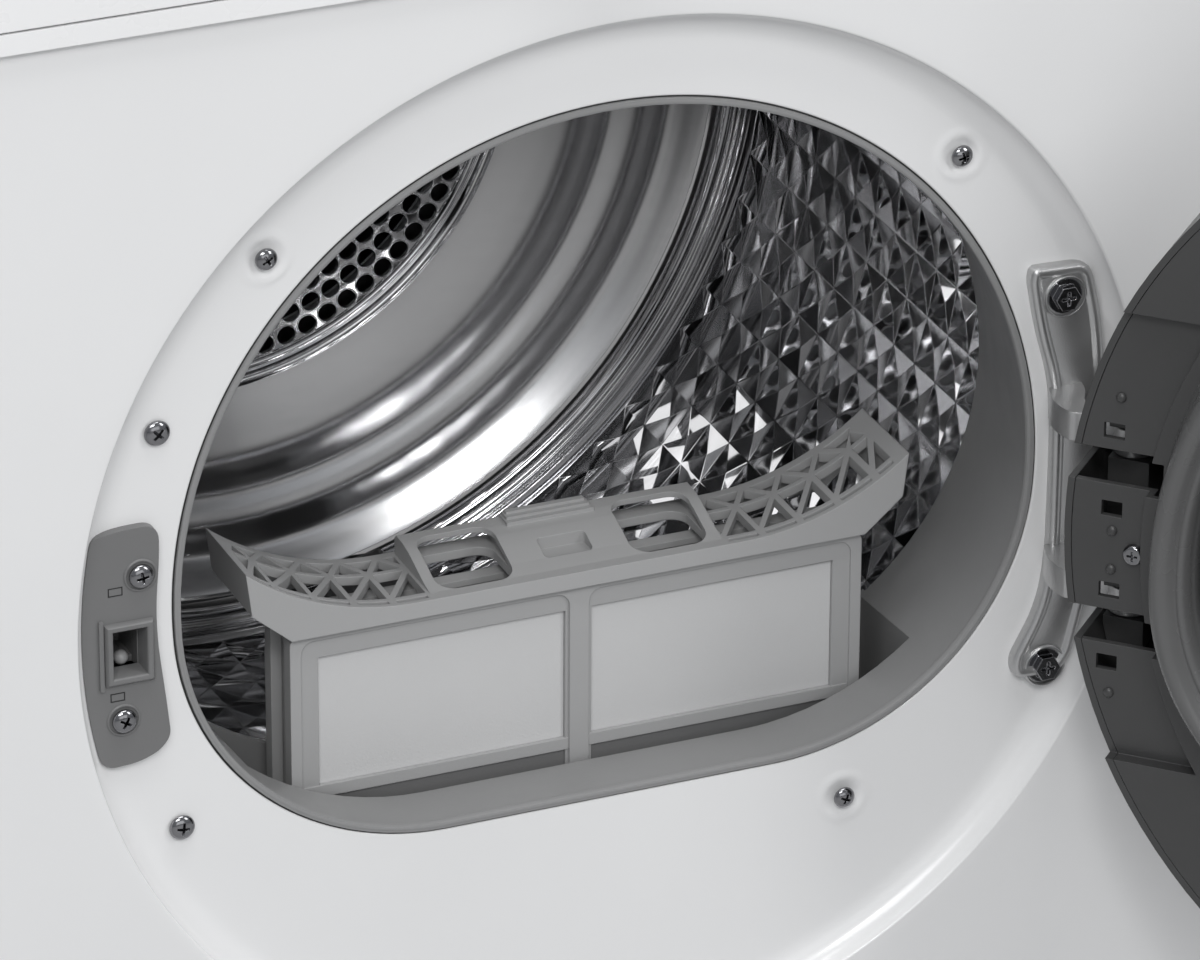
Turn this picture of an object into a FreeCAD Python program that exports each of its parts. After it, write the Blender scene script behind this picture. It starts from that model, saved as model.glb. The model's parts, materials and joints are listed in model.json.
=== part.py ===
"""Front-loading heat pump clothes dryer, one STEP file for each separate piece.

Millimetres. +X is right and +Y is back as seen by someone facing the dryer, +Z is up. The origin
is on the floor under the middle of the cabinet. The door stands open at its rest pose and the
lint filter stands lifted part-way out of its slot.
"""
import FreeCAD, Part
import math
import os

V = FreeCAD.Vector
EAST, BACKWARD, UP = V(1, 0, 0), V(0, 1, 0), V(0, 0, 1)

# ---------------------------------------------------------------- cabinet
WIDTH = 596.0
DEPTH = 600.0
HEIGHT = 845.0
HALF = WIDTH / 2
FRONT = -DEPTH / 2              # outer face of the front panel
BACK = DEPTH / 2
SHEET = 1.5                     # sheet metal
GAP = 0.3                       # air between pieces that don't touch
TOP_THICK = 25.0
PANEL_FOOT = 25.0               # lowest edge of the cabinet panels
FASCIA_BOTTOM = 744.0
FASCIA_TOP = HEIGHT - TOP_THICK - 0.5
FASCIA_FACE = FRONT - 4.0
FOOT_SPREAD = 250.0

# ---------------------------------------------------------------- door opening
CENTRE_Z = 480.0                # centre of the opening
OPENING_R = 195.0
OPENING_FLAT = -125.0           # the opening's straight bottom edge, from its centre
CORNER_R = 120.0
RECESS_DEPTH = 12.0
SEAT = FRONT + RECESS_DEPTH     # the recessed ring that the door closes on
RECESS_Z = CENTRE_Z - 5.0
RECESS_R = 228.0                # at the bottom of the recess
RECESS_MOUTH_R = 241.0          # at the face of the panel
THROAT_REAR = SEAT + 82.0       # back edge of the plastic throat
THROAT_R = 208.0
THROAT_CORNER_R = 136.0
FLANGE_R = 236.0                # throat flange behind the front panel

# ---------------------------------------------------------------- drum
DRUM_Z = CENTRE_Z + 5.0
DRUM_R = 266.0                  # inside
DRUM_FRONT = -200.0
DRUM_REAR = 172.0
DRUM_MOUTH_R = 221.0
HUB_R = 158.0
HUB_Y = 206.0
HUB_HOLE_R = 4.6
HUB_HOLE_RING = 142.5           # outermost ring of holes
HUB_HOLE_ROW = 10.2             # from one ring of holes to the next
HUB_HOLE_PITCH = 11.3           # along a ring
SHAFT_R = 12.5
LIFTER_ANGLES = (-78.0, 42.0, 162.0)
LIFTER_TOP = 222.0
SEAL_INNER_R = 222.0
SEAL_OUTER_R = 236.0

# ---------------------------------------------------------------- drive
MOTOR_X, MOTOR_Z = 185.0, 150.0
PULLEY_R = 10.0
BELT_Y0, BELT_Y1 = 66.0, 80.0
ROLLER_R = 25.0
ROLLER_ANGLE = 35.0             # either side of straight down
RUNNING = 0.05                  # radial clearance of a pin that turns

# ---------------------------------------------------------------- hinge and door
HINGE_X, HINGE_Y = 217.5, SEAT - 48.0
DOOR_OPEN = 135.0
DOOR_R = 237.0
DOOR_SEAT = SEAT - 10.0         # inner face of the door flange when shut
DOOR_FRONT = SEAT - 66.0        # front rim of the door when shut
DOOR_WALL = 3.0
PIN_R = 4.0
ARM_HEIGHT = 13.0
ARM_BASES = (19.0, -55.5)       # lower faces of the two arms, from the opening centre
KNUCKLE_R = 9.0
HINGE_ZONE = (-108.0, 100.0)    # the lowered part of the door flange
HINGE_ZONE_DROP = 6.5

# ---------------------------------------------------------------- lint filter
FILTER_FRONT = SEAT + 32.0
FILTER_DEPTH = 48.0
FILTER_RAISE = 91.0             # how far the filter is lifted at rest
HEAD_HALF = 151.0
HEAD_FOOT_HALF = 131.0
HEAD_SIDE = 20.0                # straight height of the head's ends
HEAD_BAND = 7.0                 # straight part under the flat middle of the head
FRAME_LENGTH = 150.0
FRAME_HALF = 131.0
SLOT_HALF = 152.5
SHAFT_BOTTOM = 190.0


# ================================================================ helpers
def box(x0, x1, y0, y1, z0, z1):
    return Part.makeBox(x1 - x0, y1 - y0, z1 - z0, V(x0, y0, z0))


def rod_x(r, y, z, x0, x1):
    return Part.makeCylinder(r, x1 - x0, V(x0, y, z), EAST)


def rod_y(r, x, z, y0, y1):
    return Part.makeCylinder(r, y1 - y0, V(x, y0, z), BACKWARD)


def rod_z(r, x, y, z0, z1):
    return Part.makeCylinder(r, z1 - z0, V(x, y, z0), UP)


def fuse(shapes):
    shapes = list(shapes)
    if len(shapes) == 1:
        return shapes[0]
    return shapes[0].multiFuse(shapes[1:]).removeSplitter()


def fuse_all(shapes):
    """One compound of tools for a single cut."""
    return Part.makeCompound(list(shapes))


def turned(outline, x, z):
    """A closed outline of (radius, y) points turned about the Y axis through (x, z)."""
    points = [V(x + r, y, z) for r, y in outline]
    face = Part.Face(Part.makePolygon(points + [points[0]]))
    return face.revolve(V(x, 0, z), BACKWARD, 360)


def ring_y(inner, outer, z, y0, y1):
    return rod_y(outer, 0, z, y0, y1).cut(rod_y(inner, 0, z, y0 - 1, y1 + 1))


def plan_prism(outline, z0, z1):
    """A closed outline of (x, y) points raised from z0 to z1."""
    points = [V(x, y, z0) for x, y in outline]
    return Part.Face(Part.makePolygon(points + [points[0]])).extrude(UP * (z1 - z0))


def front_prism(outline, y0, y1):
    """A closed outline of (x, z) points carried from y0 back to y1."""
    points = [V(x, y0, z) for x, z in outline]
    return Part.Face(Part.makePolygon(points + [points[0]])).extrude(BACKWARD * (y1 - y0))


def rounded_box(x0, x1, y0, y1, z0, z1, radius, direction):
    """A box whose edges along one direction are rounded."""
    solid = box(x0, x1, y0, y1, z0, z1)
    edges = [e for e in solid.Edges if abs(e.tangentAt(e.FirstParameter).dot(direction)) > 0.99]
    return solid.makeFillet(radius, edges)


def opening_wire(y, inset=0.0, radius=OPENING_R, corner=CORNER_R, flat=OPENING_FLAT):
    """The opening's outline: a circle with a straight bottom and two blended corners."""
    corner_z = flat + corner
    corner_x = math.sqrt((radius - corner) ** 2 - corner_z ** 2)
    reach = radius - corner
    big, small = radius - inset, corner - inset

    def at(cx, cz, r, direction):
        return V(cx + r * direction[0], y, CENTRE_Z + cz + r * direction[1])

    side = (corner_x / reach, corner_z / reach)
    low = (math.sqrt(0.5), -math.sqrt(0.5))
    right_join = at(0, 0, big, side)
    left_join = at(0, 0, big, (-side[0], side[1]))
    right_foot = at(corner_x, corner_z, small, (0, -1))
    left_foot = at(-corner_x, corner_z, small, (0, -1))
    edges = [
        Part.Arc(right_join, at(0, 0, big, (0, 1)), left_join).toShape(),
        Part.Arc(left_join, at(-corner_x, corner_z, small, (-low[0], low[1])), left_foot).toShape(),
        Part.LineSegment(left_foot, right_foot).toShape(),
        Part.Arc(right_foot, at(corner_x, corner_z, small, low), right_join).toShape(),
    ]
    return Part.Wire(edges)


def opening_prism(y0, y1, inset=0.0):
    return Part.Face(opening_wire(y0, inset)).extrude(BACKWARD * (y1 - y0))


def opening_loft(sections):
    """A solid through opening outlines given as (y, inset)."""
    return Part.makeLoft([opening_wire(y, inset) for y, inset in sections], True, True)


def pan_screw(x, z, y_face, head_r, shank_r, length):
    """A domed screw facing forwards, its head resting on the plane y_face."""
    head = rod_y(head_r, x, z, y_face - 3.0, y_face)
    head = head.makeFillet(1.6, [e for e in head.Edges if abs(e.BoundBox.YMin - y_face + 3.0) < 0.01
                                 and abs(e.BoundBox.YMax - y_face + 3.0) < 0.01])
    recess = fuse([box(x - 0.5, x + 0.5, y_face - 4, y_face - 1.4, z - head_r * 0.5, z + head_r * 0.5),
                   box(x - head_r * 0.5, x + head_r * 0.5, y_face - 4, y_face - 1.4, z - 0.5, z + 0.5)])
    return fuse([head, rod_y(shank_r, x, z, y_face, y_face + length)]).cut(recess)


def opened(shape):
    """Turns a door piece from its shut place to the open rest pose."""
    out = shape.copy()
    out.rotate(V(HINGE_X, HINGE_Y, 0), UP, DOOR_OPEN)
    return out


# ================================================================ screw places, (x, z from centre)
PANEL_SCREWS = ((-152.3, 151.8), (-200.3, 83.2), (-193.2, -98.9), (156.3, 145.0), (108.1, -147.3))
LATCH_SCREWS = ((-209.8, 22.3), (-218.5, -42.3))
HINGE_BOLTS = ((204.7, 73.8), (200.4, -100.4))
SCREW_HOLE_R = 2.3
BOLT_HOLE_R = 3.3
LATCH_X = (-224.0, -207.0)      # the latch hole
LATCH_Z = (-22.5, 0.5)


def fixing_holes(y0, y1):
    """The holes that the recess screws and hinge bolts go through."""
    holes = [rod_y(SCREW_HOLE_R, x, CENTRE_Z + z, y0, y1) for x, z in PANEL_SCREWS + LATCH_SCREWS]
    holes += [rod_y(BOLT_HOLE_R, x, CENTRE_Z + z, y0, y1) for x, z in HINGE_BOLTS]
    return holes


def latch_cutout(y0, y1, room):
    return box(LATCH_X[0] - room, LATCH_X[1] + room, y0, y1,
               CENTRE_Z + LATCH_Z[0] - 6.0 - room, CENTRE_Z + LATCH_Z[1] + 2.0 + room)


# ================================================================ cabinet
FLAP_X = (-250.0, -30.0)
FLAP_Z = (42.5, 175.0)
FLAP_PIVOT_Y = FRONT + 3.0
FLAP_PIVOT_Z = 49.0
EAR_BORE_R = 2.0 + RUNNING


def base_tray():
    low, rim, wall = PANEL_FOOT, 85.0, 3.0
    outer = box(-294, 294, -294, 294, low, rim)
    inner = box(-294 + wall, 294 - wall, -294 + wall, 294 - wall, low + wall, rim + 1)
    access = box(FLAP_X[0] - 12, FLAP_X[1] + 12, -295, -290, 43, rim + 1)
    hose_way = rod_y(DRAIN_R + 2, DRAIN_X, DRAIN_Z, 280, 300)
    tray = outer.cut(inner).cut(access).cut(hose_way)
    for sx in (-1, 1):
        for sy in (-1, 1):
            tray = tray.fuse(rod_z(16, sx * FOOT_SPREAD, sy * FOOT_SPREAD, low, 50))
            tray = tray.cut(rod_z(5 + RUNNING, sx * FOOT_SPREAD, sy * FOOT_SPREAD, low - 1, 51))
    return tray.removeSplitter()


def foot(x, y):
    pad = rod_z(20, x, y, 0, 9)
    pad = pad.makeFillet(2.0, [e for e in pad.Edges if e.BoundBox.ZMax > 8.9 and e.BoundBox.ZMin > 8.9])
    nut = Part.makePolygon([V(x + 11 * math.cos(math.radians(a)), y + 11 * math.sin(math.radians(a)), 9)
                            for a in range(0, 361, 60)])
    return fuse([pad, Part.Face(nut).extrude(UP * 8), rod_z(5, x, y, 9, 58)])


def side_panel(side):
    """side is -1 for the left panel and 1 for the right one."""
    outer, inner = side * HALF, side * (HALF - SHEET)
    flange = side * (HALF - 18.0)
    back_face, front_face = BACK - SHEET - GAP, FRONT + SHEET + GAP
    top = HEIGHT - TOP_THICK - 0.5

    def slab(xa, xb, y0, y1, z0, z1):
        return box(min(xa, xb), max(xa, xb), y0, y1, z0, z1)

    skin = slab(outer, inner, front_face, back_face, PANEL_FOOT, top)
    fold_front = slab(inner, flange, front_face, front_face + SHEET, PANEL_FOOT, FASCIA_BOTTOM - 2)
    fold_back = slab(inner, flange, back_face - SHEET, back_face, PANEL_FOOT, top)
    fold_top = slab(inner, side * (HALF - 8.0), front_face + 20, back_face - SHEET, top - SHEET, top)
    panel = fuse([skin, fold_front, fold_back, fold_top])
    fascia_room = slab(outer + side, flange, front_face - 1, FRONT + 9 + GAP, FASCIA_BOTTOM - GAP, HEIGHT)
    return panel.cut(fascia_room)


def rear_panel():
    panel = box(-HALF + 0.5, HALF - 0.5, BACK - SHEET, BACK, PANEL_FOOT, FASCIA_TOP)
    cuts = []
    for row in range(7):
        for column in (-2, -1, 0, 1, 2):
            z0 = 120 + row * 14
            cuts.append(box(column * 70 - 26, column * 70 + 26, BACK - 3, BACK + 1, z0, z0 + 6))
    cuts.append(rod_y(DRAIN_R + 2, DRAIN_X, DRAIN_Z, BACK - 5, BACK + 5))
    cuts.append(box(INLET_X - 13, INLET_X + 13, BACK - 5, BACK + 5, INLET_Z - 13, INLET_Z + 13))
    ring_floor = BACK - SHEET
    stiffener = rod_y(120, 0, DRUM_Z, ring_floor - 6, BACK)
    stiffener = stiffener.cut(rod_y(118.5, 0, DRUM_Z, ring_floor - 7, ring_floor))
    return panel.multiFuse([stiffener]).cut(fuse_all(cuts)).removeSplitter()


def front_panel():
    sheet = box(-HALF, HALF, FRONT, FRONT + SHEET, PANEL_FOOT, FASCIA_BOTTOM - 1)
    edges = [e for e in sheet.Edges if abs(e.tangentAt(e.FirstParameter).z) > 0.99
             and abs(e.BoundBox.YMin - FRONT) < 0.01]
    sheet = sheet.makeFillet(1.2, edges)
    sheet = sheet.cut(rod_y(RECESS_MOUTH_R, 0, RECESS_Z, FRONT - 1, FRONT + 3))
    slope = (RECESS_MOUTH_R - RECESS_R) / RECESS_DEPTH
    mouth_back = RECESS_MOUTH_R + SHEET * slope
    dish = turned([(RECESS_MOUTH_R, FRONT), (RECESS_R, SEAT), (0, SEAT), (0, SEAT + SHEET),
                   (RECESS_R + SHEET, SEAT + SHEET), (mouth_back, FRONT + SHEET)], 0, RECESS_Z)
    panel = sheet.fuse(dish)
    panel = panel.cut(opening_prism(SEAT - 1, SEAT + 4))
    panel = panel.cut(fuse_all(fixing_holes(SEAT - 1, SEAT + 4) + [latch_cutout(SEAT - 5, SEAT + 4, 2.0)]))
    panel = panel.cut(box(FLAP_X[0], FLAP_X[1], FRONT - 1, FRONT + 3, FLAP_Z[0], FLAP_Z[1]))
    ear_spans = ((FLAP_X[0] - 8, FLAP_X[0] - 0.5), (FLAP_X[1] + 0.5, FLAP_X[1] + 8))
    ears = [box(x0, x1, FRONT + SHEET, FRONT + 9, FLAP_PIVOT_Z - 5, FLAP_PIVOT_Z + 5)
            for x0, x1 in ear_spans]
    bores = [rod_x(EAR_BORE_R, FLAP_PIVOT_Y, FLAP_PIVOT_Z, x0 - 1, x1 + 1) for x0, x1 in ear_spans]
    return fuse([panel] + ears).cut(fuse_all(bores)).removeSplitter()


def top_cover():
    slab = box(-HALF, HALF, FRONT - 3, BACK, HEIGHT - TOP_THICK, HEIGHT)
    upright = [e for e in slab.Edges if abs(e.tangentAt(e.FirstParameter).z) > 0.99]
    slab = slab.makeFillet(8, upright)
    rim = [e for e in slab.Edges if abs(e.BoundBox.ZMin - e.BoundBox.ZMax) < 0.01]
    return slab.makeFillet(2.5, rim)


def access_flap():
    x0, x1 = FLAP_X[0] + 1, FLAP_X[1] - 1
    plate = rounded_box(x0, x1, FRONT - 1.5, FRONT + 1.5, 46, FLAP_Z[1] - 1, 3, BACKWARD)
    grip = rounded_box(-170, -110, FRONT - 2, FRONT + 0.2, 152, 164, 4, BACKWARD)
    parts = [plate.cut(grip)]
    for xa, xb, pin_a, pin_b in ((x0, x0 + 4, FLAP_X[0] - 7, x0 + 4), (x1 - 4, x1, x1 - 4, FLAP_X[1] + 7)):
        parts.append(box(xa, xb, FRONT + 1.5, FRONT + 6, 46, 53))
        parts.append(rod_x(2, FLAP_PIVOT_Y, FLAP_PIVOT_Z, pin_a, pin_b))
    return fuse(parts)


# ================================================================ controls
TANK_X = (-286.0, -90.0)
TANK_Z = (754.0, 810.0)
CONTROL_Z = 782.0
KNOB_X, KNOB_R = -10.0, 24.0
DISPLAY_X = (60.0, 190.0)
DISPLAY_Z = (764.0, 800.0)
POWER_X, POWER_R = 218.0, 9.0
START_X, START_R = 258.0, 12.0
SPINDLE_R = 3.0


def control_fascia():
    depth_end = FRONT + 9.0
    outer = rounded_box(-HALF, HALF, FASCIA_FACE, depth_end, FASCIA_BOTTOM, FASCIA_TOP, 3, BACKWARD)
    inner = box(-HALF + 2.5, HALF - 2.5, FASCIA_FACE + 3, depth_end + 1,
                FASCIA_BOTTOM + 2.5, FASCIA_TOP - 2.5)
    shell = outer.cut(inner)
    cuts = [
        box(TANK_X[0] - 1, TANK_X[1] + 1, FASCIA_FACE - 1, FASCIA_FACE + 5, TANK_Z[0] - 1, TANK_Z[1] + 1),
        rounded_box(*DISPLAY_X, FASCIA_FACE - 1, FASCIA_FACE + 5, *DISPLAY_Z, 4, BACKWARD),
        rod_y(SPINDLE_R + RUNNING, KNOB_X, CONTROL_Z, FASCIA_FACE - 3, FASCIA_FACE + 5),
        rod_y(POWER_R + 0.4, POWER_X, CONTROL_Z, FASCIA_FACE - 1, FASCIA_FACE + 5),
        rod_y(START_R + 0.4, START_X, CONTROL_Z, FASCIA_FACE - 1, FASCIA_FACE + 5),
    ]
    collar = rod_y(KNOB_R + 4, KNOB_X, CONTROL_Z, FASCIA_FACE - 1.2, FASCIA_FACE)
    return shell.fuse(collar).cut(fuse_all(cuts)).removeSplitter()


def display_window():
    return rounded_box(DISPLAY_X[0] + 0.2, DISPLAY_X[1] - 0.2, FASCIA_FACE - 0.4, FASCIA_FACE + 2.6,
                       DISPLAY_Z[0] + 0.2, DISPLAY_Z[1] - 0.2, 3.8, BACKWARD)


def program_knob():
    y_back = FASCIA_FACE - 1.5
    cap = rod_y(KNOB_R, KNOB_X, CONTROL_Z, y_back - 18, y_back)
    cap = cap.makeFillet(3, [e for e in cap.Edges if e.BoundBox.YMax < y_back - 17])
    grooves = []
    for step in range(24):
        turn = math.radians(step * 15)
        grooves.append(rod_y(1.2, KNOB_X + (KNOB_R + 0.4) * math.cos(turn),
                             CONTROL_Z + (KNOB_R + 0.4) * math.sin(turn), y_back - 14, y_back + 1))
    pointer = box(KNOB_X - 0.8, KNOB_X + 0.8, y_back - 19, y_back - 17.4, CONTROL_Z + 12, CONTROL_Z + 21)
    spindle = rod_y(SPINDLE_R, KNOB_X, CONTROL_Z, y_back, FRONT + 7)
    return cap.fuse(spindle).cut(fuse_all(grooves + [pointer]))


def push_button(x, r):
    """A round button with a collar behind the fascia that keeps it in."""
    cap = rod_y(r, x, CONTROL_Z, FASCIA_FACE - 2.5, FASCIA_FACE + 6)
    cap = cap.makeFillet(1.0, [e for e in cap.Edges if e.BoundBox.YMax < FASCIA_FACE - 2.4])
    return cap.fuse(rod_y(r + 1.5, x, CONTROL_Z, FASCIA_FACE + 3.3, FASCIA_FACE + 5)).removeSplitter()


def control_board():
    board = box(-75, 285, FRONT + 12, FRONT + 14, 756, 812)
    parts = [board]
    for x, size, height in ((-40, 24, 16), (20, 30, 20), (100, 40, 12), (160, 22, 24), (230, 34, 18)):
        parts.append(box(x, x + size, FRONT + 14, FRONT + 14 + height, 765, 765 + size))
    return fuse(parts)


def tank_housing():
    outer = box(TANK_X[0] - 3, TANK_X[1] + 3, FRONT + 10, 201, TANK_Z[0] - 2.5, TANK_Z[1] + 3.5)
    inner = box(TANK_X[0] - 1, TANK_X[1] + 1, FRONT + 9, 199, TANK_Z[0] - 0.5, TANK_Z[1] + 1.5)
    return outer.cut(inner)


def water_tank():
    """The condensate tank: a hollow drawer whose front closes the left of the fascia."""
    body = box(TANK_X[0] + 0.5, TANK_X[1] - 0.5, FRONT + 1, 190, TANK_Z[0] + 1, TANK_Z[1])
    room = box(TANK_X[0] + 2.5, TANK_X[1] - 2.5, FRONT + 3, 188, TANK_Z[0] + 3, TANK_Z[1] - 2)
    face = rounded_box(TANK_X[0], TANK_X[1], FASCIA_FACE, FRONT + 1, TANK_Z[0], TANK_Z[1], 3, BACKWARD)
    grip = rounded_box(-230, -146, FASCIA_FACE - 1, FRONT + 22, 762, 784, 6, BACKWARD)
    liner = box(-233, -143, FRONT + 1, FRONT + 25, 759, 787)
    filler = rod_z(14, -188, 160, TANK_Z[1] - 4, TANK_Z[1] + 1)
    return fuse([body.cut(room), face, liner]).cut(grip).cut(filler)


# ================================================================ throat, drum and what holds it
def throat_loft(grow):
    """The flaring inside of the throat, grown outwards by a wall thickness."""
    front_inset = 3.5 - grow
    start, end = SEAT - 0.5, THROAT_REAR
    front = opening_wire(start, front_inset)
    rear = opening_wire(end, -grow, THROAT_R, THROAT_CORNER_R)
    return Part.makeLoft([front, rear], True, True)


def roller_places():
    for side in (-1, 1):
        turn = math.radians(-90 + side * ROLLER_ANGLE)
        reach = DRUM_R + SHEET + GAP + ROLLER_R
        yield side, reach * math.cos(turn), DRUM_Z + reach * math.sin(turn)


def front_duct_ring():
    """Throat, its flange, the filter shaft and the shield that carries the drum's front rollers."""
    y_shaft0, y_shaft1 = FILTER_FRONT - 1.5, FILTER_FRONT + FILTER_DEPTH + 1.5
    flange = rod_y(FLANGE_R, 0, CENTRE_Z, SEAT + SHEET + GAP, SEAT + SHEET + GAP + 2.5)
    shield = box(-283, 283, THROAT_REAR - 6, THROAT_REAR - 3, 196, 742)
    shaft = box(-SLOT_HALF - 2.5, SLOT_HALF + 2.5, y_shaft0 - 2.5, y_shaft1 + 2.5,
                SHAFT_BOTTOM, CENTRE_Z - 95)
    pad = ring_y(SEAL_INNER_R - 2, SEAL_OUTER_R + 1, DRUM_Z, THROAT_REAR - 4, DRUM_FRONT - 4)
    legs = [box(side * 220 - 18, side * 220 + 18, THROAT_REAR - 6, THROAT_REAR + 6, 85.3, 200)
            for side in (-1, 1)]
    axles = [rod_y(4, x, z, THROAT_REAR - 4, -170) for _, x, z in roller_places()]
    bosses = [rod_y(9, x, z, THROAT_REAR - 4, -203) for _, x, z in roller_places()]
    solid = fuse([throat_loft(2.7), flange, shield, shaft, pad] + legs + axles + bosses)
    rear_mouth = Part.Face(opening_wire(THROAT_REAR - 0.01, 0, THROAT_R, THROAT_CORNER_R))
    slot = box(-SLOT_HALF, SLOT_HALF, y_shaft0, y_shaft1, SHAFT_BOTTOM - 1, CENTRE_Z - 60)
    solid = solid.cut(throat_loft(0)).cut(rear_mouth.extrude(BACKWARD * 12)).cut(slot)
    front_face = opening_prism(SEAT - 2, SEAT + 1, 3.5)
    holes = fixing_holes(SEAT, SEAT + 8) + [latch_cutout(SEAT - 5, SEAT + 8, 2.0)]
    return solid.cut(front_face).cut(fuse_all(holes)).removeSplitter()


def drum_seal():
    return ring_y(SEAL_INNER_R, SEAL_OUTER_R, DRUM_Z, DRUM_FRONT - 3.8, DRUM_FRONT - GAP)


def drum_shell():
    outer_r = DRUM_R + SHEET
    return turned([(DRUM_MOUTH_R, DRUM_FRONT), (outer_r - 4, DRUM_FRONT), (outer_r, DRUM_FRONT + 4),
                   (outer_r, DRUM_REAR), (DRUM_R, DRUM_REAR), (DRUM_R, DRUM_FRONT + 4.5),
                   (DRUM_R - 3, DRUM_FRONT + SHEET), (DRUM_MOUTH_R, DRUM_FRONT + SHEET)], 0, DRUM_Z)


def drum_back():
    """The back wall: a rolled rim, one broad wave and a seat for the perforated hub."""
    wave = ((262.5, 0), (259.5, 4), (257, -2), (252, -3), (244, 1), (232, 10), (219, 15), (205, 17),
            (192, 23), (176, 29), (160, 31), (HUB_R - 6, 32))
    front_line = [(DRUM_R - 0.2, DRUM_REAR - 3)] + [(r, DRUM_REAR + y) for r, y in wave]
    back_line = [(r, y + 1.8) for r, y in reversed(front_line)]
    return turned(front_line + back_line, 0, DRUM_Z)


def drum_hub():
    """The perforated disc that the warm air comes in through."""
    disc = rod_y(HUB_R, 0, DRUM_Z, HUB_Y, HUB_Y + 2)
    holes = []
    for row in range(8):
        ring = HUB_HOLE_RING - row * HUB_HOLE_ROW
        count = round(2 * math.pi * ring / HUB_HOLE_PITCH)
        for step in range(count):
            turn = 2 * math.pi * (step + row % 2 * 0.5) / count
            x, z = ring * math.cos(turn), DRUM_Z + ring * math.sin(turn)
            holes.append(rod_y(HUB_HOLE_R, x, z, HUB_Y - 1, HUB_Y + 3))
    return disc.cut(fuse_all(holes)).cut(rod_y(SHAFT_R + 8, 0, DRUM_Z, HUB_Y - 1, HUB_Y + 3))


def drum_shaft():
    flange = rod_y(45, 0, DRUM_Z, HUB_Y + 2.2, HUB_Y + 6)
    nose = rod_y(SHAFT_R + 7, 0, DRUM_Z, HUB_Y - 2, HUB_Y + 2.2)
    return fuse([nose, flange, rod_y(SHAFT_R, 0, DRUM_Z, HUB_Y + 2, 252)])


def drum_lifters():
    """Three ridges that carry the laundry up, each tapering inwards."""
    ridges = []
    for angle in LIFTER_ANGLES:
        base, top = DRUM_R - 4.5, LIFTER_TOP
        sections = []
        steps = ((base, 32, -165, 158), (base - 12, 24, -158, 150), (top, 11, -135, 126))
        for reach, half_width, y0, y1 in steps:
            corners = [V(reach, y0, -half_width), V(reach, y0, half_width),
                       V(reach, y1, half_width), V(reach, y1, -half_width)]
            sections.append(Part.makePolygon(corners + [corners[0]]))
        ridge = Part.makeLoft(sections, True, True)
        crown = [e for e in ridge.Edges if e.BoundBox.XMax < top + 0.01]
        ridge = ridge.makeFillet(6, crown)
        ridge.rotate(V(0, 0, 0), BACKWARD, -angle)
        ridge.translate(V(0, 0, DRUM_Z))
        ridges.append(ridge)
    return Part.makeCompound(ridges)


BULKHEAD_Y = 226.0


def rear_bulkhead():
    """The plate behind the drum with its air windows, and the duct that feeds them."""
    plate = box(-284, 284, BULKHEAD_Y, BULKHEAD_Y + SHEET, 86, 742)
    windows = ring_y(62, 146, DRUM_Z, BULKHEAD_Y - 1, BULKHEAD_Y + 4)
    spokes = []
    for step in range(6):
        spoke = box(40, 160, BULKHEAD_Y - 2, BULKHEAD_Y + 5, -9, 9)
        spoke.rotate(V(0, 0, 0), BACKWARD, step * 60 + 30)
        spoke.translate(V(0, 0, DRUM_Z))
        spokes.append(spoke)
    shaft_hole = rod_y(SHAFT_R + 2, 0, DRUM_Z, BULKHEAD_Y - 1, BULKHEAD_Y + 4)
    plate = plate.cut(windows.cut(fuse_all(spokes))).cut(shaft_hole)
    outer = box(-170, 272, BULKHEAD_Y + SHEET, 286, 62, 650)
    inner = box(-168, 270, BULKHEAD_Y, 284, 64, 648)
    plate = plate.cut(rod_y(FAN_R - 20, MOTOR_X, MOTOR_Z, BULKHEAD_Y - 1, BULKHEAD_Y + 4))
    return plate.fuse(outer.cut(inner)).removeSplitter()


def shaft_bearing():
    body = fuse([rod_y(38, 0, DRUM_Z, BULKHEAD_Y + SHEET + 0.1, BULKHEAD_Y + 6),
                 rod_y(24, 0, DRUM_Z, BULKHEAD_Y + 6, BULKHEAD_Y + 24)])
    return body.cut(rod_y(SHAFT_R + RUNNING, 0, DRUM_Z, BULKHEAD_Y, BULKHEAD_Y + 25))


def drum_roller(x, z):
    wheel = rod_y(ROLLER_R, x, z, -197, -177)
    rims = [e for e in wheel.Edges if abs(e.BoundBox.YMin - e.BoundBox.YMax) < 0.01]
    return wheel.makeFillet(2, rims).cut(rod_y(4 + RUNNING, x, z, -198, -176))


# ================================================================ drive and heat pump
FAN_R = 78.0
FAN_Y0, FAN_Y1 = 196.0, 218.0
DRAIN_X, DRAIN_Z, DRAIN_R = -201.0, 70.0, 9.0
INLET_X, INLET_Z = 240.0, 780.0


def two_circle_face(far_r, near_r, y):
    """The face inside a loop drawn tight round the drum and the motor pulley."""
    far, near = V(0, y, DRUM_Z), V(MOTOR_X, y, MOTOR_Z)
    line = near - far
    heading = math.atan2(line.z, line.x)
    spread = math.acos((far_r - near_r) / line.Length)

    def on(centre, r, angle):
        return V(centre.x + r * math.cos(angle), y, centre.z + r * math.sin(angle))

    upper, lower = heading + spread, heading - spread
    edges = [
        Part.Arc(on(far, far_r, upper), on(far, far_r, heading + math.pi), on(far, far_r, lower)).toShape(),
        Part.LineSegment(on(far, far_r, lower), on(near, near_r, lower)).toShape(),
        Part.Arc(on(near, near_r, lower), on(near, near_r, heading), on(near, near_r, upper)).toShape(),
        Part.LineSegment(on(near, near_r, upper), on(far, far_r, upper)).toShape(),
    ]
    return Part.Face(Part.Wire(edges))


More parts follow.
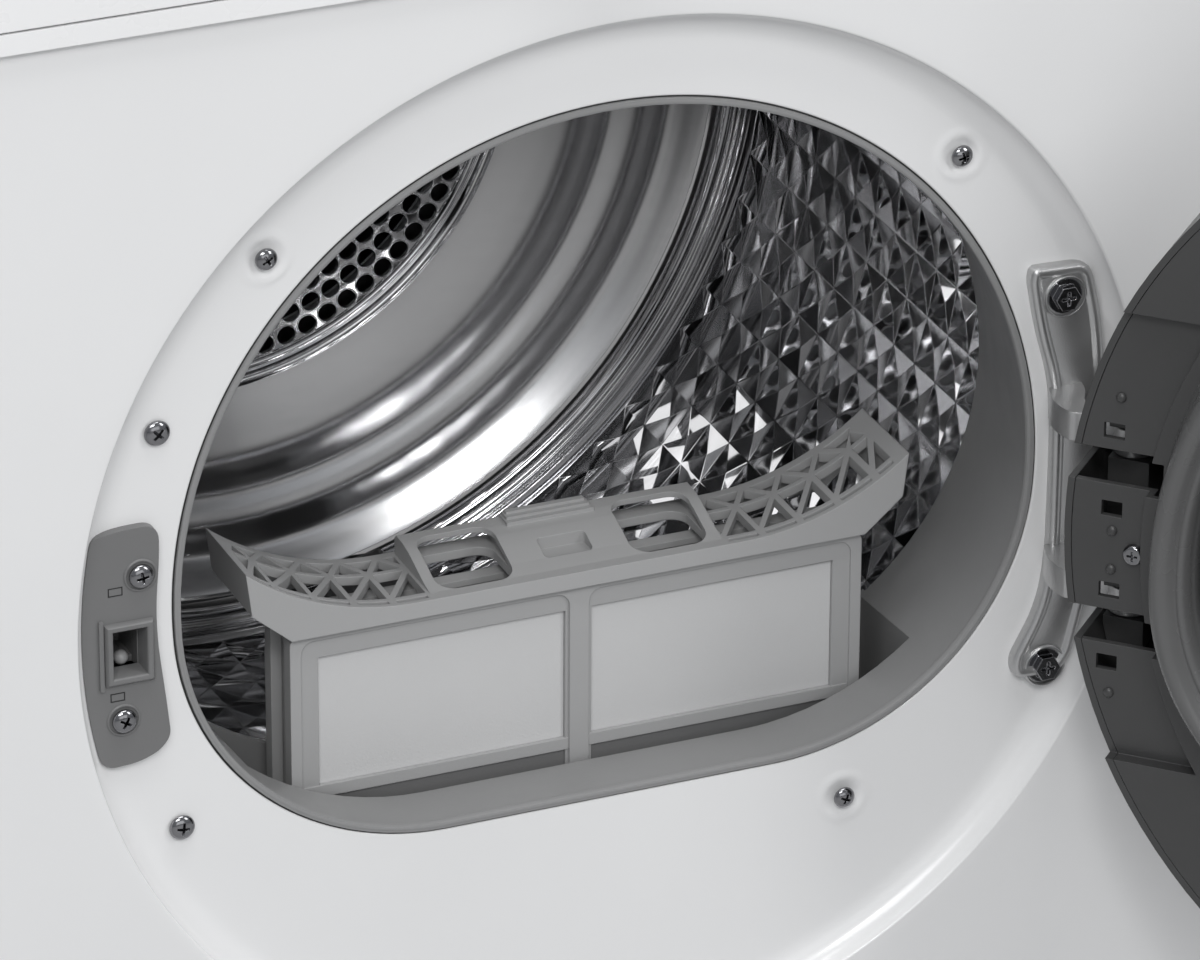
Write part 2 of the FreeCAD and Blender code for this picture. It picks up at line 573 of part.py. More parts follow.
def drive_belt():
    inner_far, inner_near, thick = DRUM_R + SHEET + GAP, PULLEY_R + GAP, 2.0
    width = BACKWARD * (BELT_Y1 - BELT_Y0)
    outer = two_circle_face(inner_far + thick, inner_near + thick, BELT_Y0).extrude(width)
    return outer.cut(two_circle_face(inner_far, inner_near, BELT_Y0).extrude(width))


def motor():
    can = rod_y(48, MOTOR_X, MOTOR_Z, 92, 178)
    ends = [e for e in can.Edges if abs(e.BoundBox.YMin - e.BoundBox.YMax) < 0.01]
    can = can.makeFillet(6, ends)
    saddle = box(MOTOR_X - 44, MOTOR_X + 44, 105, 165, 28.3, 120)
    hollow = box(MOTOR_X - 36, MOTOR_X + 36, 104, 166, 34, 96)
    body = can.fuse(saddle.cut(hollow))
    return body.cut(rod_y(6 + RUNNING, MOTOR_X, MOTOR_Z, 80, 200)).removeSplitter()


def motor_pulley():
    """The rotor shaft with its small ribbed pulley."""
    rim = PULLEY_R + 1.5
    grooved = turned([(0, 62), (rim, 62), (rim, 64), (PULLEY_R, 64.5), (PULLEY_R, 81.5), (rim, 82),
                      (rim, 84), (0, 84)], MOTOR_X, MOTOR_Z)
    return grooved.fuse(rod_y(6, MOTOR_X, MOTOR_Z, 84, FAN_Y1)).removeSplitter()


def fan_wheel():
    back = rod_y(FAN_R, MOTOR_X, MOTOR_Z, FAN_Y0, FAN_Y0 + 2)
    hub = rod_y(16, MOTOR_X, MOTOR_Z, FAN_Y0, FAN_Y1)
    blades = []
    for step in range(20):
        blade = box(52, FAN_R - 1, FAN_Y0 + 1, FAN_Y1, -1, 1)
        blade.rotate(V(65, 0, 0), BACKWARD, 35)
        blade.rotate(V(0, 0, 0), BACKWARD, step * 18)
        blade.translate(V(MOTOR_X, 0, MOTOR_Z))
        blades.append(blade)
    wheel = fuse([back, hub] + blades)
    return wheel.cut(rod_y(6, MOTOR_X, MOTOR_Z, FAN_Y0 - 1, FAN_Y1 + 1))


def fan_housing():
    outer = rod_y(FAN_R + 8, MOTOR_X, MOTOR_Z, FAN_Y0 - 8, BULKHEAD_Y - GAP)
    room = rod_y(FAN_R + 5, MOTOR_X, MOTOR_Z, FAN_Y0 - 5, BULKHEAD_Y)
    eye = rod_y(20, MOTOR_X, MOTOR_Z, FAN_Y0 - 12, FAN_Y0)
    return outer.cut(room).cut(eye)


COIL_X = (-130.0, 60.0)
COIL_Z = (45.0, 182.0)
COMPRESSOR = (-185.0, 130.0)


def finned_block(y0, y1):
    """A heat exchanger: upright fins on tube rows, as one solid."""
    block = box(COIL_X[0], COIL_X[1], y0, y1, COIL_Z[0], COIL_Z[1])
    pitch, fin = 9.5, 2.4
    grooves = []
    x = COIL_X[0] + fin
    while x + pitch - fin < COIL_X[1]:
        grooves.append(box(x, x + pitch - fin, y0 - 1, y1 + 1, COIL_Z[0] + 4, COIL_Z[1] - 4))
        x += pitch
    block = block.cut(fuse_all(grooves))
    tubes = [rod_x(5, y0 + 18 + 26 * row, z, COIL_X[0] - 8, COIL_X[1] + 8)
             for row in range(int((y1 - y0) / 32)) for z in (70, 100, 130, 158)]
    return fuse([block] + tubes)


def compressor():
    x, y = COMPRESSOR
    can = rod_z(60, x, y, 48, 190)
    ends = [e for e in can.Edges if abs(e.BoundBox.ZMin - e.BoundBox.ZMax) < 0.01]
    can = can.makeFillet(22, ends)
    legs = [box(x - 70, x + 70, y - 12, y + 12, 46, 52), box(x - 12, x + 12, y - 70, y + 70, 46, 52)]
    feet = [rod_z(10, x + dx, y + dy, 28.3, 46) for dx, dy in ((-60, 0), (60, 0), (0, -60), (0, 60))]
    return fuse([can] + legs + feet)


def pipe_run(points, r):
    """Straight pipe lengths joined by round elbows."""
    pieces = []
    for a, b in zip(points, points[1:]):
        a, b = V(*a), V(*b)
        pieces.append(Part.makeCylinder(r, (b - a).Length, a, b - a))
    pieces += [Part.makeSphere(r, V(*p)) for p in points[1:-1]]
    return fuse(pieces)


def refrigerant_pipes():
    x, y = COMPRESSOR
    hot = pipe_run([(x + 20, y, 190.2), (x + 20, y, 205), (x + 20, 8, 205), (-152, 8, 205), (-152, 8, 158),
                    (-138.3, 8, 158)], 4)
    cold = pipe_run([(x - 25, y, 190.2), (x - 25, y, 212), (x - 25, -162, 212), (-160, -162, 212),
                     (-160, -162, 158), (-138.3, -162, 158)], 5)
    return Part.makeCompound([hot, cold])


def drain_pump():
    """The condensate pump with the spigot for an outside drain hose."""
    body = box(DRAIN_X - 27, DRAIN_X + 25, BULKHEAD_Y + 6, 268, 30, 95)
    spigot = rod_y(DRAIN_R + 1, DRAIN_X, DRAIN_Z, 268, BACK)
    hose_end = rod_y(DRAIN_R, DRAIN_X, DRAIN_Z, BACK, BACK + 16)
    bore = rod_y(DRAIN_R - 2.5, DRAIN_X, DRAIN_Z, 262, BACK + 17)
    cap = rod_z(22, DRAIN_X, 250, 95, 104)
    return fuse([body, spigot, hose_end, cap]).cut(bore)


def mains_inlet():
    """The cord gland in the back panel, with no cord in it."""
    plate = box(INLET_X - 20, INLET_X + 20, BACK - 5, BACK - SHEET - GAP, INLET_Z - 20, INLET_Z + 20)
    nose = rounded_box(INLET_X - 12, INLET_X + 12, BACK - 5, BACK + 4, INLET_Z - 12, INLET_Z + 12,
                       4, BACKWARD)
    back = box(INLET_X - 20, INLET_X + 20, BACK - 30, BACK - 5, INLET_Z - 15, INLET_Z + 15)
    return fuse([plate, nose, back]).cut(rod_y(4.5, INLET_X, INLET_Z, BACK - 20, BACK + 5))


# ================================================================ hinge and latch
def hinge_arm(z_low):
    """One gooseneck arm, from the bracket plate forwards to its knuckle."""
    outline = [(214, SEAT - 3), (199, SEAT - 3), (194.8, SEAT - 22), (197, SEAT - 29.5), (201, SEAT - 31),
               (203.5, SEAT - 36.5), (210, SEAT - 43), (217.5, SEAT - 48), (219, SEAT - 41),
               (213.5, SEAT - 37), (206.8, SEAT - 29.5), (206.5, SEAT - 20), (212, SEAT - 12)]
    z0 = CENTRE_Z + z_low
    arm = plan_prism(outline, z0, z0 + ARM_HEIGHT)
    arm = arm.fuse(rod_z(KNUCKLE_R, HINGE_X, HINGE_Y, z0, z0 + ARM_HEIGHT))
    return arm.cut(rod_z(PIN_R + RUNNING, HINGE_X, HINGE_Y, z0 - 1, z0 + ARM_HEIGHT + 1))


BRACKET_OUTLINE = [(188, 83), (192, 61), (199, 36.5), (201, 17), (201, -11), (200.6, -49), (197, -72),
                   (184.5, -95), (186, -103), (207, -105), (213, -97), (222, -60), (225.5, -20),
                   (226, 20), (222, 62), (217, 83), (210, 89), (194, 89)]


def hinge_bracket():
    """The cast plate on the right of the opening, with two arms that reach into the door."""
    outline = [(x, CENTRE_Z + z) for x, z in BRACKET_OUTLINE]
    plate = front_prism(outline, SEAT - 6, SEAT)
    upright = [e for e in plate.Edges if abs(e.tangentAt(e.FirstParameter).y) > 0.99]
    plate = plate.makeFillet(2.0, upright)
    plate = plate.common(rod_y(RECESS_R - GAP, 0, RECESS_Z, SEAT - 7, SEAT + 1))
    pockets = []
    for (x, z), wide in zip(HINGE_BOLTS, (11, 10)):
        pockets.append(rod_y(wide, x, CENTRE_Z + z, SEAT - 7, SEAT - 3))
        pockets.append(rod_y(BOLT_HOLE_R, x, CENTRE_Z + z, SEAT - 7, SEAT + 1))
    web = [(204.5, 58), (203, 38), (220, 38), (216, 58)]
    low_web = [(205, -62), (203.5, -80), (214, -80), (217, -62)]
    for shape in (web, low_web):
        pockets.append(front_prism([(x, CENTRE_Z + z) for x, z in shape], SEAT - 7, SEAT - 4))
    pockets.append(box(206, 220, SEAT - 7, SEAT - 4, CENTRE_Z - 36, CENTRE_Z + 12))
    return fuse([plate.cut(fuse_all(pockets))] + [hinge_arm(z) for z in ARM_BASES])


def hinge_bolts():
    bolts = []
    for x, z in HINGE_BOLTS:
        z += CENTRE_Z
        flange = rod_y(8, x, z, SEAT - 4.4, SEAT - 3)
        corners = [V(x + 6 * math.cos(math.radians(a)), SEAT - 8.2, z + 6 * math.sin(math.radians(a)))
                   for a in range(0, 361, 60)]
        head = Part.Face(Part.makePolygon(corners)).extrude(BACKWARD * 4)
        cross = fuse([box(x - 0.6, x + 0.6, SEAT - 9, SEAT - 6.4, z - 3.2, z + 3.2),
                      box(x - 3.2, x + 3.2, SEAT - 9, SEAT - 6.4, z - 0.6, z + 0.6)])
        bolts.append(fuse([flange, head, rod_y(3, x, z, SEAT - 3, SEAT + 14)]).cut(cross))
    return Part.makeCompound(bolts)


def panel_screws():
    """The five screws of the recess and the two of the latch, all with cross recesses."""
    screws = [pan_screw(x, CENTRE_Z + z, SEAT, 5.6 if x < -190 else 4.8, 2.0, 14) for x, z in PANEL_SCREWS]
    screws += [pan_screw(x, CENTRE_Z + z, SEAT - 4, 5.4, 2.0, 16) for x, z in LATCH_SCREWS]
    return Part.makeCompound(screws)


def latch_plate():
    """The plate on the left of the opening with the box that the door's hook enters."""
    outline = [(-223, 44), (-204, 44), (-201, 39), (-201.5, 26), (-203.4, 8), (-203, -10.5), (-200, -34),
               (-198, -53), (-202, -59), (-210, -63), (-219, -63), (-240, -50), (-240, 30)]
    plate = front_prism([(x, CENTRE_Z + z) for x, z in outline], SEAT - 4, SEAT)
    plate = plate.common(rod_y(RECESS_R - 0.5, 0, RECESS_Z, SEAT - 5, SEAT + 1))
    frame = box(LATCH_X[0] - 1.2, LATCH_X[1] + 3, SEAT - 5.5, SEAT - 4, CENTRE_Z + LATCH_Z[0] - 3,
                CENTRE_Z + LATCH_Z[1] + 3)
    housing = latch_cutout(SEAT, SEAT + 26, 1.5)
    solid = fuse([plate, frame, housing])
    mouth = box(LATCH_X[0], LATCH_X[1], SEAT - 6, SEAT + 1, CENTRE_Z + LATCH_Z[0], CENTRE_Z + LATCH_Z[1])
    marks = [box(-212, -206, SEAT - 5, SEAT - 3.4, CENTRE_Z + z, CENTRE_Z + z + 3.5) for z in (8.5, -32)]
    holes = [rod_y(SCREW_HOLE_R, x, CENTRE_Z + z, SEAT - 6, SEAT + 1) for x, z in LATCH_SCREWS]
    return solid.cut(mouth).cut(latch_cutout(SEAT + 0.5, SEAT + 24.5, 0)).cut(fuse_all(marks + holes))


def latch_catch():
    """The sprung catch at the bottom of the latch box."""
    x_mid = sum(LATCH_X) / 2
    z0 = CENTRE_Z + LATCH_Z[0]
    block = box(x_mid - 5, x_mid + 5, SEAT + 7, SEAT + 17, z0, z0 + 3)
    return block.fuse(rod_x(3, SEAT + 12, z0 + 3, x_mid - 5, x_mid + 5)).removeSplitter()


# ================================================================ door, modelled shut and then opened
def arm_slots():
    """The slots that let the two bracket arms into the door."""
    slots = []
    for low in ARM_BASES:
        z0 = CENTRE_Z + low
        slots.append(box(192.5, 245, DOOR_FRONT + 7, SEAT + 3, z0 - 1.5, z0 + ARM_HEIGHT + 1.5))
    return slots


def hinge_zone(y0, y1, inner_r, outer_r):
    """The stretch of flange beside the hinge, between two heights and two radii."""
    ring = ring_y(inner_r, outer_r, CENTRE_Z - 5, y0, y1)
    return ring.common(box(120, 260, y0, y1, CENTRE_Z + HINGE_ZONE[0], CENTRE_Z + HINGE_ZONE[1]))


def door_outer_ring():
    z = CENTRE_Z - 5
    skin = turned([(DOOR_R, DOOR_SEAT), (DOOR_R, DOOR_FRONT + 16), (DOOR_R - 2.5, DOOR_FRONT + 8),
                   (DOOR_R - 9, DOOR_FRONT + 2), (DOOR_R - 18, DOOR_FRONT), (186, DOOR_FRONT + 1),
                   (186, DOOR_FRONT + 7), (192, DOOR_FRONT + 7), (192, DOOR_FRONT + 4),
                   (DOOR_R - 18, DOOR_FRONT + 3), (DOOR_R - 11, DOOR_FRONT + 5),
                   (DOOR_R - 5.5, DOOR_FRONT + 10), (DOOR_R - 3, DOOR_FRONT + 17),
                   (DOOR_R - 3, DOOR_SEAT)], 0, z)
    pocket = box(-245, -215, DOOR_FRONT + 10, DOOR_SEAT - 14, CENTRE_Z - 40, CENTRE_Z + 40)
    step = hinge_zone(DOOR_SEAT - HINGE_ZONE_DROP, SEAT + 1, 200, 240)
    return opened(skin.cut(fuse_all(arm_slots())).cut(pocket).cut(step).removeSplitter())


def door_inner_frame():
    z = CENTRE_Z - 5
    inner, outer = 176.0, DOOR_R - DOOR_WALL - 0.2
    flange = ring_y(inner, outer, z, DOOR_SEAT - 3, DOOR_SEAT)
    lowered = hinge_zone(DOOR_SEAT - HINGE_ZONE_DROP - 3, DOOR_SEAT - HINGE_ZONE_DROP, 198.5, outer)
    well = hinge_zone(DOOR_SEAT - HINGE_ZONE_DROP, DOOR_SEAT + 1, 201.5, outer + 1)
    walls = hinge_zone(DOOR_SEAT - HINGE_ZONE_DROP - 3, DOOR_SEAT, 198.5, 201.5)
    ends = []
    for edge, away in ((HINGE_ZONE[0], -1), (HINGE_ZONE[1], 1)):
        z0 = CENTRE_Z + min(edge, edge + 3 * away)
        slab = box(120, 240, DOOR_SEAT - HINGE_ZONE_DROP - 3, DOOR_SEAT, z0, z0 + 3)
        ends.append(slab.common(ring_y(198.5, outer, z, DOOR_SEAT - 20, DOOR_SEAT)))
    frame = fuse([flange.cut(well), lowered, walls] + ends)
    cuts = arm_slots()
    for height in (42, 6, -32, -66):
        slot_z = CENTRE_Z + height
        cuts.append(box(212, 221, DOOR_SEAT - 20, DOOR_SEAT + 1, slot_z - 3.5, slot_z + 3.5))
    for x, height in DOOR_SCREWS:
        cuts.append(rod_y(SCREW_HOLE_R, x, CENTRE_Z + height, DOOR_SEAT - 20, DOOR_SEAT + 1))
    cuts.append(box(-222, -210, DOOR_SEAT - 4, DOOR_SEAT + 1, CENTRE_Z - 20, CENTRE_Z - 2))
    return opened(frame.cut(fuse_all(cuts)).removeSplitter())


DOOR_SCREWS = ((206, -13), (98, 197), (-98, 197), (-215, 60), (-215, -80), (-98, -207), (98, -207))


def door_screws():
    screws = []
    for x, height in DOOR_SCREWS:
        drop = HINGE_ZONE_DROP if x > 200 else 0
        screw = pan_screw(x, -CENTRE_Z - height, -(DOOR_SEAT - drop), 4.6, 2.0, 16)
        screw.rotate(V(0, 0, 0), EAST, 180)
        screws.append(opened(screw))
    return Part.makeCompound(screws)


def door_bezel():
    """The raised surround of the door's window, shaped to enter the opening."""
    outer = opening_loft([(DOOR_SEAT + 0.1, -3.0), (SEAT - 1, 4.5), (SEAT + 10, 12), (SEAT + 16, 20)])
    inner = opening_loft([(DOOR_SEAT - 0.1, 0.5), (SEAT - 1, 8), (SEAT + 7, 15), (SEAT + 12.5, 22)])
    hole = opening_prism(DOOR_SEAT - 1, SEAT + 20, 26)
    lip = opening_prism(DOOR_SEAT + 3, SEAT + 16, 23).cut(opening_prism(DOOR_SEAT - 1, SEAT + 20, 26))
    shell = fuse([outer.cut(inner).cut(hole), lip.common(outer)])
    return opened(shell.cut(fuse_all(arm_slots())))


def door_window():
    """The dished glass inside the bezel."""
    rim = opening_loft([(DOOR_SEAT + 3.2, 26.4), (SEAT + 9, 26.4)])
    dish = opening_loft([(DOOR_SEAT - 11, 62), (DOOR_SEAT + 2, 34), (SEAT + 5, 29.5), (SEAT + 10, 28.8)])
    bowl = opening_loft([(DOOR_SEAT - 15, 60), (DOOR_SEAT - 1, 31), (DOOR_SEAT + 3.2, 27)])
    return opened(fuse([rim, bowl]).cut(dish))


def door_outer_glass():
    """The gently domed front of the door."""
    z, r = CENTRE_Z - 5, 185.6
    bulge, thick = 6.0, 4.0
    sphere_r = (r * r + bulge * bulge) / (2 * bulge)
    crown = Part.makeSphere(sphere_r, V(0, DOOR_FRONT + 1 - bulge + sphere_r, z))
    hollow = Part.makeSphere(sphere_r, V(0, DOOR_FRONT + 1 - bulge + sphere_r + thick, z))
    pane = crown.common(rod_y(r, 0, z, DOOR_FRONT - 12, DOOR_FRONT + 4.8)).cut(hollow)
    return opened(pane)


def door_hinge_leaf():
    """The block inside the door that holds the hinge pin above, between and below the arms."""
    lows = sorted(ARM_BASES)
    spans = [(lows[0] - 14, lows[0] - 0.6), (lows[0] + ARM_HEIGHT + 0.6, lows[1] - 0.6),
             (lows[1] + ARM_HEIGHT + 0.6, lows[1] + ARM_HEIGHT + 14)]
    z0, z1 = CENTRE_Z + spans[0][0], CENTRE_Z + spans[2][1]
    plate = box(203, 224, DOOR_FRONT + 5.2, DOOR_FRONT + 7.4, z0, z1)
    lugs = [box(208, 226, DOOR_FRONT + 7.4, HINGE_Y + 9, CENTRE_Z + a, CENTRE_Z + b) for a, b in spans]
    leaf = fuse([plate] + lugs)
    cuts = [rod_z(PIN_R, HINGE_X, HINGE_Y, CENTRE_Z - 90, CENTRE_Z + 90)]
    room = turned([(0, DOOR_FRONT + 5), (216, DOOR_FRONT + 5), (223.5, DOOR_FRONT + 7),
                   (229.5, DOOR_FRONT + 12.5), (232.5, DOOR_FRONT + 20), (232.5, DOOR_SEAT),
                   (0, DOOR_SEAT)], 0, CENTRE_Z - 5)
    leaf = leaf.common(room)
    return opened(leaf.cut(fuse_all(cuts)))


def hinge_pin():
    low, high = min(ARM_BASES) - 14, max(ARM_BASES) + ARM_HEIGHT + 14
    shank = rod_z(PIN_R, HINGE_X, HINGE_Y, CENTRE_Z + low, CENTRE_Z + high)
    head = rod_z(PIN_R + 2, HINGE_X, HINGE_Y, CENTRE_Z + high, CENTRE_Z + high + 2.5)
    return opened(shank.fuse(head))


def door_hook():
    """The hook that enters the latch box, on a foot inside the flange."""
    x_mid = sum(LATCH_X) / 2
    z0 = CENTRE_Z - 15.0
    stem = box(x_mid - 3, x_mid + 3, DOOR_SEAT - 3.5, SEAT + 20, z0, z0 + 8)
    foot_plate = box(x_mid - 9, x_mid + 9, DOOR_SEAT - 6.5, DOOR_SEAT - 3.2, z0 - 8, z0 + 16)
    bite = box(x_mid - 4, x_mid + 4, SEAT + 6, SEAT + 14, z0 - 1, z0 + 3)
    nose = [e for e in stem.Edges if e.BoundBox.YMin > SEAT + 19.9]
    return opened(fuse([stem.makeFillet(1.5, nose), foot_plate]).cut(bite))


def door_handle():
    """The finger cup let into the free edge of the door."""
    cup = box(-236.5, -216, DOOR_FRONT + 10.5, DOOR_SEAT - 14.5, CENTRE_Z - 39.5, CENTRE_Z + 39.5)
    room = box(-245, -219, DOOR_FRONT + 13, DOOR_SEAT - 17, CENTRE_Z - 37, CENTRE_Z + 37)
    skin = rod_y(DOOR_R - 0.5, 0, CENTRE_Z - 5, DOOR_FRONT, DOOR_SEAT)
    return opened(cup.cut(room).common(skin))


# ================================================================ lint filter, at its raised rest place
HEAD_TOP = CENTRE_Z + OPENING_FLAT + FILTER_RAISE
HEAD_BOTTOM = HEAD_TOP - HEAD_BAND
FINGER_X = (-62.0, -27.0)       # the left finger hole, mirrored for the right one
LID_THICK = 4.0
WALL = 2.5
BAR = 2.6                       # width of the lid's bars
BAY = 17.5                      # from one straight bar to the next
RAILS = (6.2, 31.5, 45.0)       # front, middle and rear rails of the lid, from the front of the head
SADDLE_HALF = 67.0
SADDLE_LINE = ((0, 0), (6, 0.6), (14, 2.6), (22, 5.6), (30, 8.4), (37, 9.8), (44, 10), (46, 8))


def head_face(inset, y, bottom):
    """The head's side view: a top that follows the throat and sides that lean in below."""
    corner_x = math.sqrt((OPENING_R - CORNER_R) ** 2 - (OPENING_FLAT + CORNER_R) ** 2)
    corner_z = HEAD_TOP + CORNER_R
    half = HEAD_HALF - inset
    r = CORNER_R - 0.5 + inset

    def on_arc(x):
        return corner_z - math.sqrt(r * r - (abs(x) - corner_x) ** 2)

    middle = (half + corner_x) / 2
    foot_half = HEAD_FOOT_HALF - inset
    side = V(-half + 2.5, y, on_arc(half) - HEAD_SIDE)
    left = [V(-half, y, on_arc(half)), V(-middle, y, on_arc(middle)), V(-corner_x, y, corner_z - r)]
    right = [V(-p.x, y, p.z) for p in reversed(left)]
    sides = [right[2], V(-side.x, y, side.z), V(foot_half, y, bottom),
             V(-foot_half, y, bottom), side, left[0]]
    edges = [
        Part.Arc(*left).toShape(),
        Part.LineSegment(left[2], right[0]).toShape(),
        Part.Arc(*right).toShape(),
    ]
    edges += [Part.LineSegment(a, b).toShape() for a, b in zip(sides, sides[1:])]
    return Part.Face(Part.Wire(edges))


def shrunk(triangle, margin):
    """A triangle of (x, y) points with every side moved inwards, or None if nothing is left."""
    (ax, ay), (bx, by), (cx, cy) = triangle
    lengths = [math.dist(triangle[1], triangle[2]), math.dist(triangle[2], triangle[0]),
               math.dist(triangle[0], triangle[1])]
    around = sum(lengths)
    in_x = (ax * lengths[0] + bx * lengths[1] + cx * lengths[2]) / around
    in_y = (ay * lengths[0] + by * lengths[1] + cy * lengths[2]) / around
    in_r = abs((bx - ax) * (cy - ay) - (cx - ax) * (by - ay)) / around
    if in_r < margin + 0.8:
        return None
    share = 1 - margin / in_r
    return [(in_x + (x - in_x) * share, in_y + (y - in_y) * share) for x, y in triangle]


def lid_openings(y0):
    """The three-sided openings and the front slots between the lid's bars, on both sides of the saddle."""
    front, middle, rear = (y0 + rail for rail in RAILS)
    edge = HEAD_HALF - 4
    triangles, tools = [], []
    for side in (-1, 1):
        near = SADDLE_HALF
        while near < edge - 4:
            far = min(near + BAY, edge)
            x, last = sorted((side * near, side * far))
            peak = (x + last) / 2
            following = min(last + BAY / 2, edge if side > 0 else -SADDLE_HALF)
            triangles.append([(x, front), (last, front), (last, middle)])
            triangles.append([(x, front), (x, middle), (last, middle)])
            triangles.append([(x, middle), (last, middle), (peak, rear)])
            triangles.append([(peak, rear), (last, middle), (following, rear)])
            if x in (SADDLE_HALF, -edge):
                triangles.append([(x, middle), (x, rear), (peak, rear)])
            slot_back = front - BAR / 2
            half_tab = BAR / 2 + 0.4
            tools.append(box(x + half_tab, last - half_tab, y0 + WALL, slot_back, HEAD_BOTTOM, CENTRE_Z + 40))
            near = far
    for triangle in triangles:
        inner = shrunk(triangle, BAR / 2)
        if inner:
            tools.append(plan_prism(inner, HEAD_BOTTOM, CENTRE_Z + 40))
    return tools


def filter_head():
    """The handle end of the lint filter: a barred lid, and a raised saddle with two finger holes."""
    y0, y1 = FILTER_FRONT, FILTER_FRONT + FILTER_DEPTH
    shell = head_face(0, y0, HEAD_BOTTOM).extrude(BACKWARD * (y1 - y0))
    room = head_face(LID_THICK, y0 + WALL, HEAD_BOTTOM - 5).extrude(BACKWARD * (y1 - y0 - 2 * WALL))
    head = shell.cut(room).cut(fuse_all(lid_openings(y0)))
    line = [(y0 + y, HEAD_TOP + rise) for y, rise in SADDLE_LINE]
    under = [(y, z - 2.6) for y, z in reversed(line)]

    def across(outline, x0, x1):
        points = [V(x0, y, z) for y, z in outline]
        return Part.Face(Part.makePolygon(points + [points[0]])).extrude(EAST * (x1 - x0))

    saddle = across(line + under, -SADDLE_HALF, SADDLE_HALF)
    foot = [(y0 + SADDLE_LINE[-1][0], HEAD_TOP - 2), (y0, HEAD_TOP - 2)]
    cheeks = [across(line + foot, x, x + 2.2) for x in (-SADDLE_HALF, SADDLE_HALF - 2.2)]
    bridge = across(line + foot, -24, 24)
    tab = [box(-20 + step, 20 - step, y1 - 13 + 3 * step, y1 - 4, HEAD_TOP + 9, HEAD_TOP + 11 + step)
           for step in range(3)]
    pocket = rounded_box(-11, 11, y0 + 14, y0 + 25, HEAD_TOP + 1, HEAD_TOP + 15, 2, UP)
    solid = fuse([head, saddle, bridge] + cheeks + tab).cut(pocket)
    for side in (-1, 1):
        xa, xb = sorted((side * FINGER_X[0], side * FINGER_X[1]))
        solid = solid.cut(rounded_box(xa, xb, y0 + 6, y1 - 9, HEAD_BOTTOM - 1, HEAD_TOP + 15, 8, UP))
    return solid.removeSplitter()


def filter_frame(y0, y1):
    """One leaf of the two-leaf filter: a frame with two sunk window borders and a mullion."""
    top, bottom = HEAD_BOTTOM - 0.2, HEAD_BOTTOM - FRAME_LENGTH
    frame = rounded_box(-FRAME_HALF, FRAME_HALF, y0, y1, bottom, top, 4, BACKWARD)
    borders = [rounded_box(*span, y0 - 1, y0 + 1.2, bottom + 9, top - 3, 6, BACKWARD)
               for span in ((-FRAME_HALF + 5, -4.5), (4.5, FRAME_HALF - 5))]
    return frame.cut(fuse_all(borders)).cut(fuse_all(filter_windows(y0 - 1, y1 + 1, 0)))


def filter_windows(y0, y1, spare):
    top, bottom = HEAD_BOTTOM - 12, HEAD_BOTTOM - FRAME_LENGTH + 12
    panes = []
    for side in (-1, 1):
        xa, xb = sorted((side * (6.0 - spare), side * (FRAME_HALF - 13 + spare)))
        panes.append(box(xa, xb, y0, y1, bottom - spare, top + spare))
    return panes


LEAF_THICK = 7.0
LEAF_FRONT_Y = FILTER_FRONT + 3.0
LEAF_REAR_Y = FILTER_FRONT + 26.0


def filter_mesh():
    """The four fine screens, each let into its window."""
    panes = []
    for y in (LEAF_FRONT_Y, LEAF_REAR_Y):
        middle = y + LEAF_THICK / 2
        panes += filter_windows(middle - 0.6, middle + 0.6, -0.1)
    return Part.makeCompound(panes)


